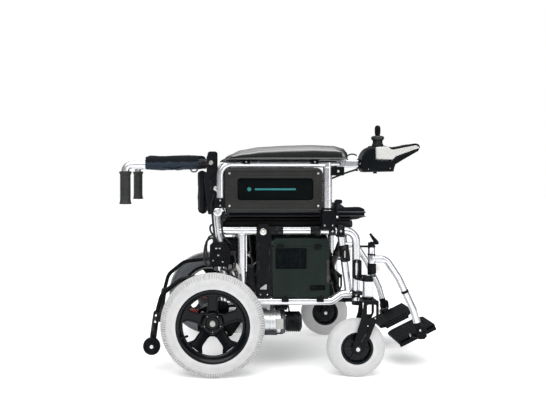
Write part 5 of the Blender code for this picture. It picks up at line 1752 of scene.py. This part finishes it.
def cut_out(piece, draw_tool):
    """Cuts the volume that draw_tool draws out of a finished piece."""
    draw_tool()
    cutter = finished("cutter", even=False)
    piece.modifiers.clear()
    cut = piece.modifiers.new("cut", "BOOLEAN")
    cut.operation, cut.solver, cut.object = "DIFFERENCE", "EXACT", cutter
    bake(piece)
    bpy.data.objects.remove(cutter, do_unlink=True)
    piece.data.shade_smooth()
    piece.data.set_sharp_from_angle(angle=radians(38))


def joystick():
    y, half = ARM_Y, 30.6

    def wells():
        """The stick's well, the two buttons' and the rocker's."""
        bar((STICK.x, y, 677.6), (STICK.x, y, 730), 25.6, 48)
        for across in (-14, 14):
            place = slope(14, across)
            bar(place @ Vector((0, 0, -5.6)), place @ Vector((0, 0, 20)), 5.6, 28)
        block((34.4, -16, -6), (51.6, 16, 20), 0.4, 1, slope(0))

    def steps(low, high, count):
        return [low + (high - low) * i / count for i in range(count + 1)]

    floor = [
        (451, 642), (454.5, 629), (462, 622.2), (549.5, 624), (553, 644), (577, 659), (625, 687),
        (627.5, 690.5),
    ]
    roof = [
        (451, 648), (453, 668), (459, 682), (468, 693), (480, 700), (494.2, 699.8), (494.8, 660),
        (548, 659), (555, 668), (577, 676.5), (627.5, 695.2),
    ]
    loft(steps(451, 494.2, 14) + steps(494.8, 549.5, 8) + steps(551.2, 627.5, 18), floor, roof, half)
    base = put(
        "controller_base", "armrest_right", "black_plastic", "black_plastic", ["joystick_base"], even=False,
    )
    cut_out(base, wells)
    # Vents and a boss under the body
    for i in range(5):
        x = 472 + i * 7
        for side in (-1, 1):
            block((x, y + side * 30.2 - 1.2, 640), (x + 3, y + side * 30.2 + 1.2, 656), 0.6, 1)
    bar((500, y, 623), (500, y, 618.5), 6, 24, 1)
    put("controller_vents", "armrest_right", "black_plastic", "panel_black")

    # Cream waist between the dark body and the dark keypad
    low = [(494.5, 661), (548, 660), (555, 669), (577, 677.5), (629, 696.2)]
    high = [
        (494.5, 700.6), (533, 701.2), (540, 696.2), (546.5, 693), (616.5, 706.6), (626, 702), (629.2, 697),
    ]
    loft(steps(495, 533, 10) + steps(535, 616, 20) + steps(618, 629, 6), low, high, half - 0.2, 0.2)
    shell = put(
        "controller_shell", "armrest_right", "light_plastic", "light_shell", ["joystick_cover"], even=False,
    )
    cut_out(shell, wells)
    under = [(534, 696), (546.5, 690.2), (616.5, 703.6), (625, 698.5), (629.8, 694.5)]
    over = [(534, 701), (548, 697.4), (615, 710.2), (623, 708.8), (628, 704.5), (629.9, 700)]
    loft(steps(534, 548, 5) + steps(550, 614, 16) + steps(616, 629.9, 9), under, over, half + 0.1, 0.2)
    keypad = put("controller_keypad", "armrest_right", "black_plastic", "black_plastic", even=False)
    cut_out(keypad, wells)

    # Boot, collar, knob
    place = Matrix.Translation(STICK)
    collar = [(26.2, 4.8), (28.8, 4.8), (28.6, 7), (27.5, 8), (26.4, 7.8)]
    lathe(collar, place, 48)
    put("boot_ring", "armrest_right", "black_plastic", "black_plastic")
    ring = [(21.4, -3.4), (21.4, 3.4), (22, 4), (24, 4), (24.5, 3.4), (24.5, -3.4)]
    lathe(ring, place, 40)
    put("gimbal_ring", "stick_gimbal", "black_steel", "black_coat", ["joystick_gimbal"])
    boot = [(0, -9.5), (17.6, -9.5), (20.3, 0), (20.4, 4), (19, 7.8)]
    for r, z in ((17.6, 9.2), (16.4, 12.2), (15.3, 15.2), (14.6, 18.2), (14.6, 21.2)):
        boot += [(r - 0.8, z), (r + 0.6, z + 0.8), (r + 0.6, z + 1.7), (r - 1, z + 2.5)]
    boot += [(15.4, 24.4), (17.4, 26.8), (19.2, 29.2), (19.7, 31.2), (19.5, 35), (18.2, 37.2)]
    boot += [(12, 39.2), (8.4, 40), (0, 40)]
    lathe(boot, place, 48)
    put("stick_boot", "stick", "grip_rubber", "boot_rubber", ["joystick_stick"], sharp=70)
    knob = [(0, 38.5), (7.8, 38.5), (7.2, 41.5), (7.6, 44), (8.6, 46.5), (8.8, 48.5)]
    knob += [(8.4, 50.5), (8.8, 53), (8.8, 60), (8.2, 65.5), (6.2, 69.5), (3, 71.2), (0, 71.4)]
    lathe(knob, place, 40, lambda a, r, z: (r - 0.4 * (cos(12 * a) > 0.5) * (50 < z < 64), z))
    put("stick_knob", "stick", "black_plastic", "black_plastic")

    # Charge lights, two buttons in their wells, speed rocker
    for i in range(5):
        block((25, -11 + i * 5, 0.2), (29, -9 + i * 5, 1.3), 0.3, 1, slope(0))
    put("charge_lights", "armrest_right", "light_plastic", "green_mark")
    for name, node, across, look in (
        ("button_power", "power_button", -14, "red_lever"),
        ("button_horn", "horn_button", 14, "button_grey"),
    ):
        dish = [(0, -3.6), (5.1, -3.6), (5.2, 0.6), (4.6, 1.4), (3, 1.2), (0, 0.8)]
        lathe(dish, slope(14, across), 28)
        put(name, node, "panel_plastic", look, [node])
    rocker = [(35.2, -15.5), (50.8, -15.5), (50.8, 15.5), (35.2, 15.5)]
    slab(flat(rocker, 2, 4), -3.8, 1.4, "Z", 1, slope(0))
    for across in (-10, 7.8):
        block((39.5, across, 1), (46.5, across + 2.2, 1.7), 0.3, 1, slope(0))
    put("rocker_speed", "speed_rocker", "panel_plastic", "button_grey", ["speed_rocker"])

    # The swing-away bar and its clamp on the armrest
    block((380, y - 9.8, 637.2), (460.8, y + 9.8, 658.8), 3, 4)
    put("controller_bar", "armrest_right", "frame_tube", "silver_tube")
    block((362, y - 13, 612.2), (404, y + 13, 639.8), 4, 4)
    block((446, y - 13.5, 633), (460, y + 13.5, 663), 3, 3)
    bar((383, y - 12.5, 625.5), (383, y - 21.5, 625.5), 7.2, 8, 1.5)
    arc = [(418, y, 656), (413, y, 668), (420, y, 676), (433, y, 678), (444, y, 674)]
    sweep(spline(arc, 5), 2.2, 10)
    put("controller_clamp", "armrest_right", "black_plastic", "black_plastic")
    bar((383, y - 20.5, 625.5), (383, y - 22.5, 625.5), 4, 16, 0.6)
    screw((453, y - 13.3, 648), OUT, 3.4)
    for x, z in ((472, 632), (538, 634)):
        screw((x, y - half - 0.1, z), OUT, 2)
    put("controller_screws", "armrest_right", "black_steel", "zinc")


def lead():
    """The joystick's lead, clipped to the armrest as far as its pivot and to the frame below it."""
    upper = [(450.8, -236.5, 631), (438, -234, 628), (408, -232, 618), (354, -233, 598)]
    upper += [(290, -237, 586), (160, -237, 550), (70, -237.6, 515), (42, -237.2, 505)]
    line = spline(upper, 10)
    sweep(line, 3, 14)
    relief = line[:9]
    sweep(relief, [5.2 - 1.8 * i / 8 for i in range(9)], 14)
    put(
        "joystick_lead_upper", "armrest_right", "grip_rubber", "wire_black", ["joystick_cable_upper"],
        sharp=70,
    )
    lower = [
        (38, -234, 502), (30, -233, 470), (33, -232.5, 430), (48, -231, 408), (56, -218, 400),
        (58, -196.8, 385),
    ]
    line = spline(lower, 8)
    sweep(line, 3, 14)
    sweep(line[-7:], [3.4 + 0.4 * i for i in range(7)], 14)
    put(
        "joystick_lead_lower", "frame_right", "grip_rubber", "wire_black", ["joystick_cable_lower"],
        sharp=70,
    )
    # Cable ties
    for x, y, z in ((354, -233, 598), (160, -237, 550), (290, -237, 586)):
        block((x - 1.6, y - 4.2, z - 4.2), (x + 1.6, y + 4.2, z + 4.2), 1, 2)
    put("lead_ties", "armrest_right", "black_plastic", "black_plastic")


seats()
armrests()
legrests()
anti_tippers()
joystick()
lead()
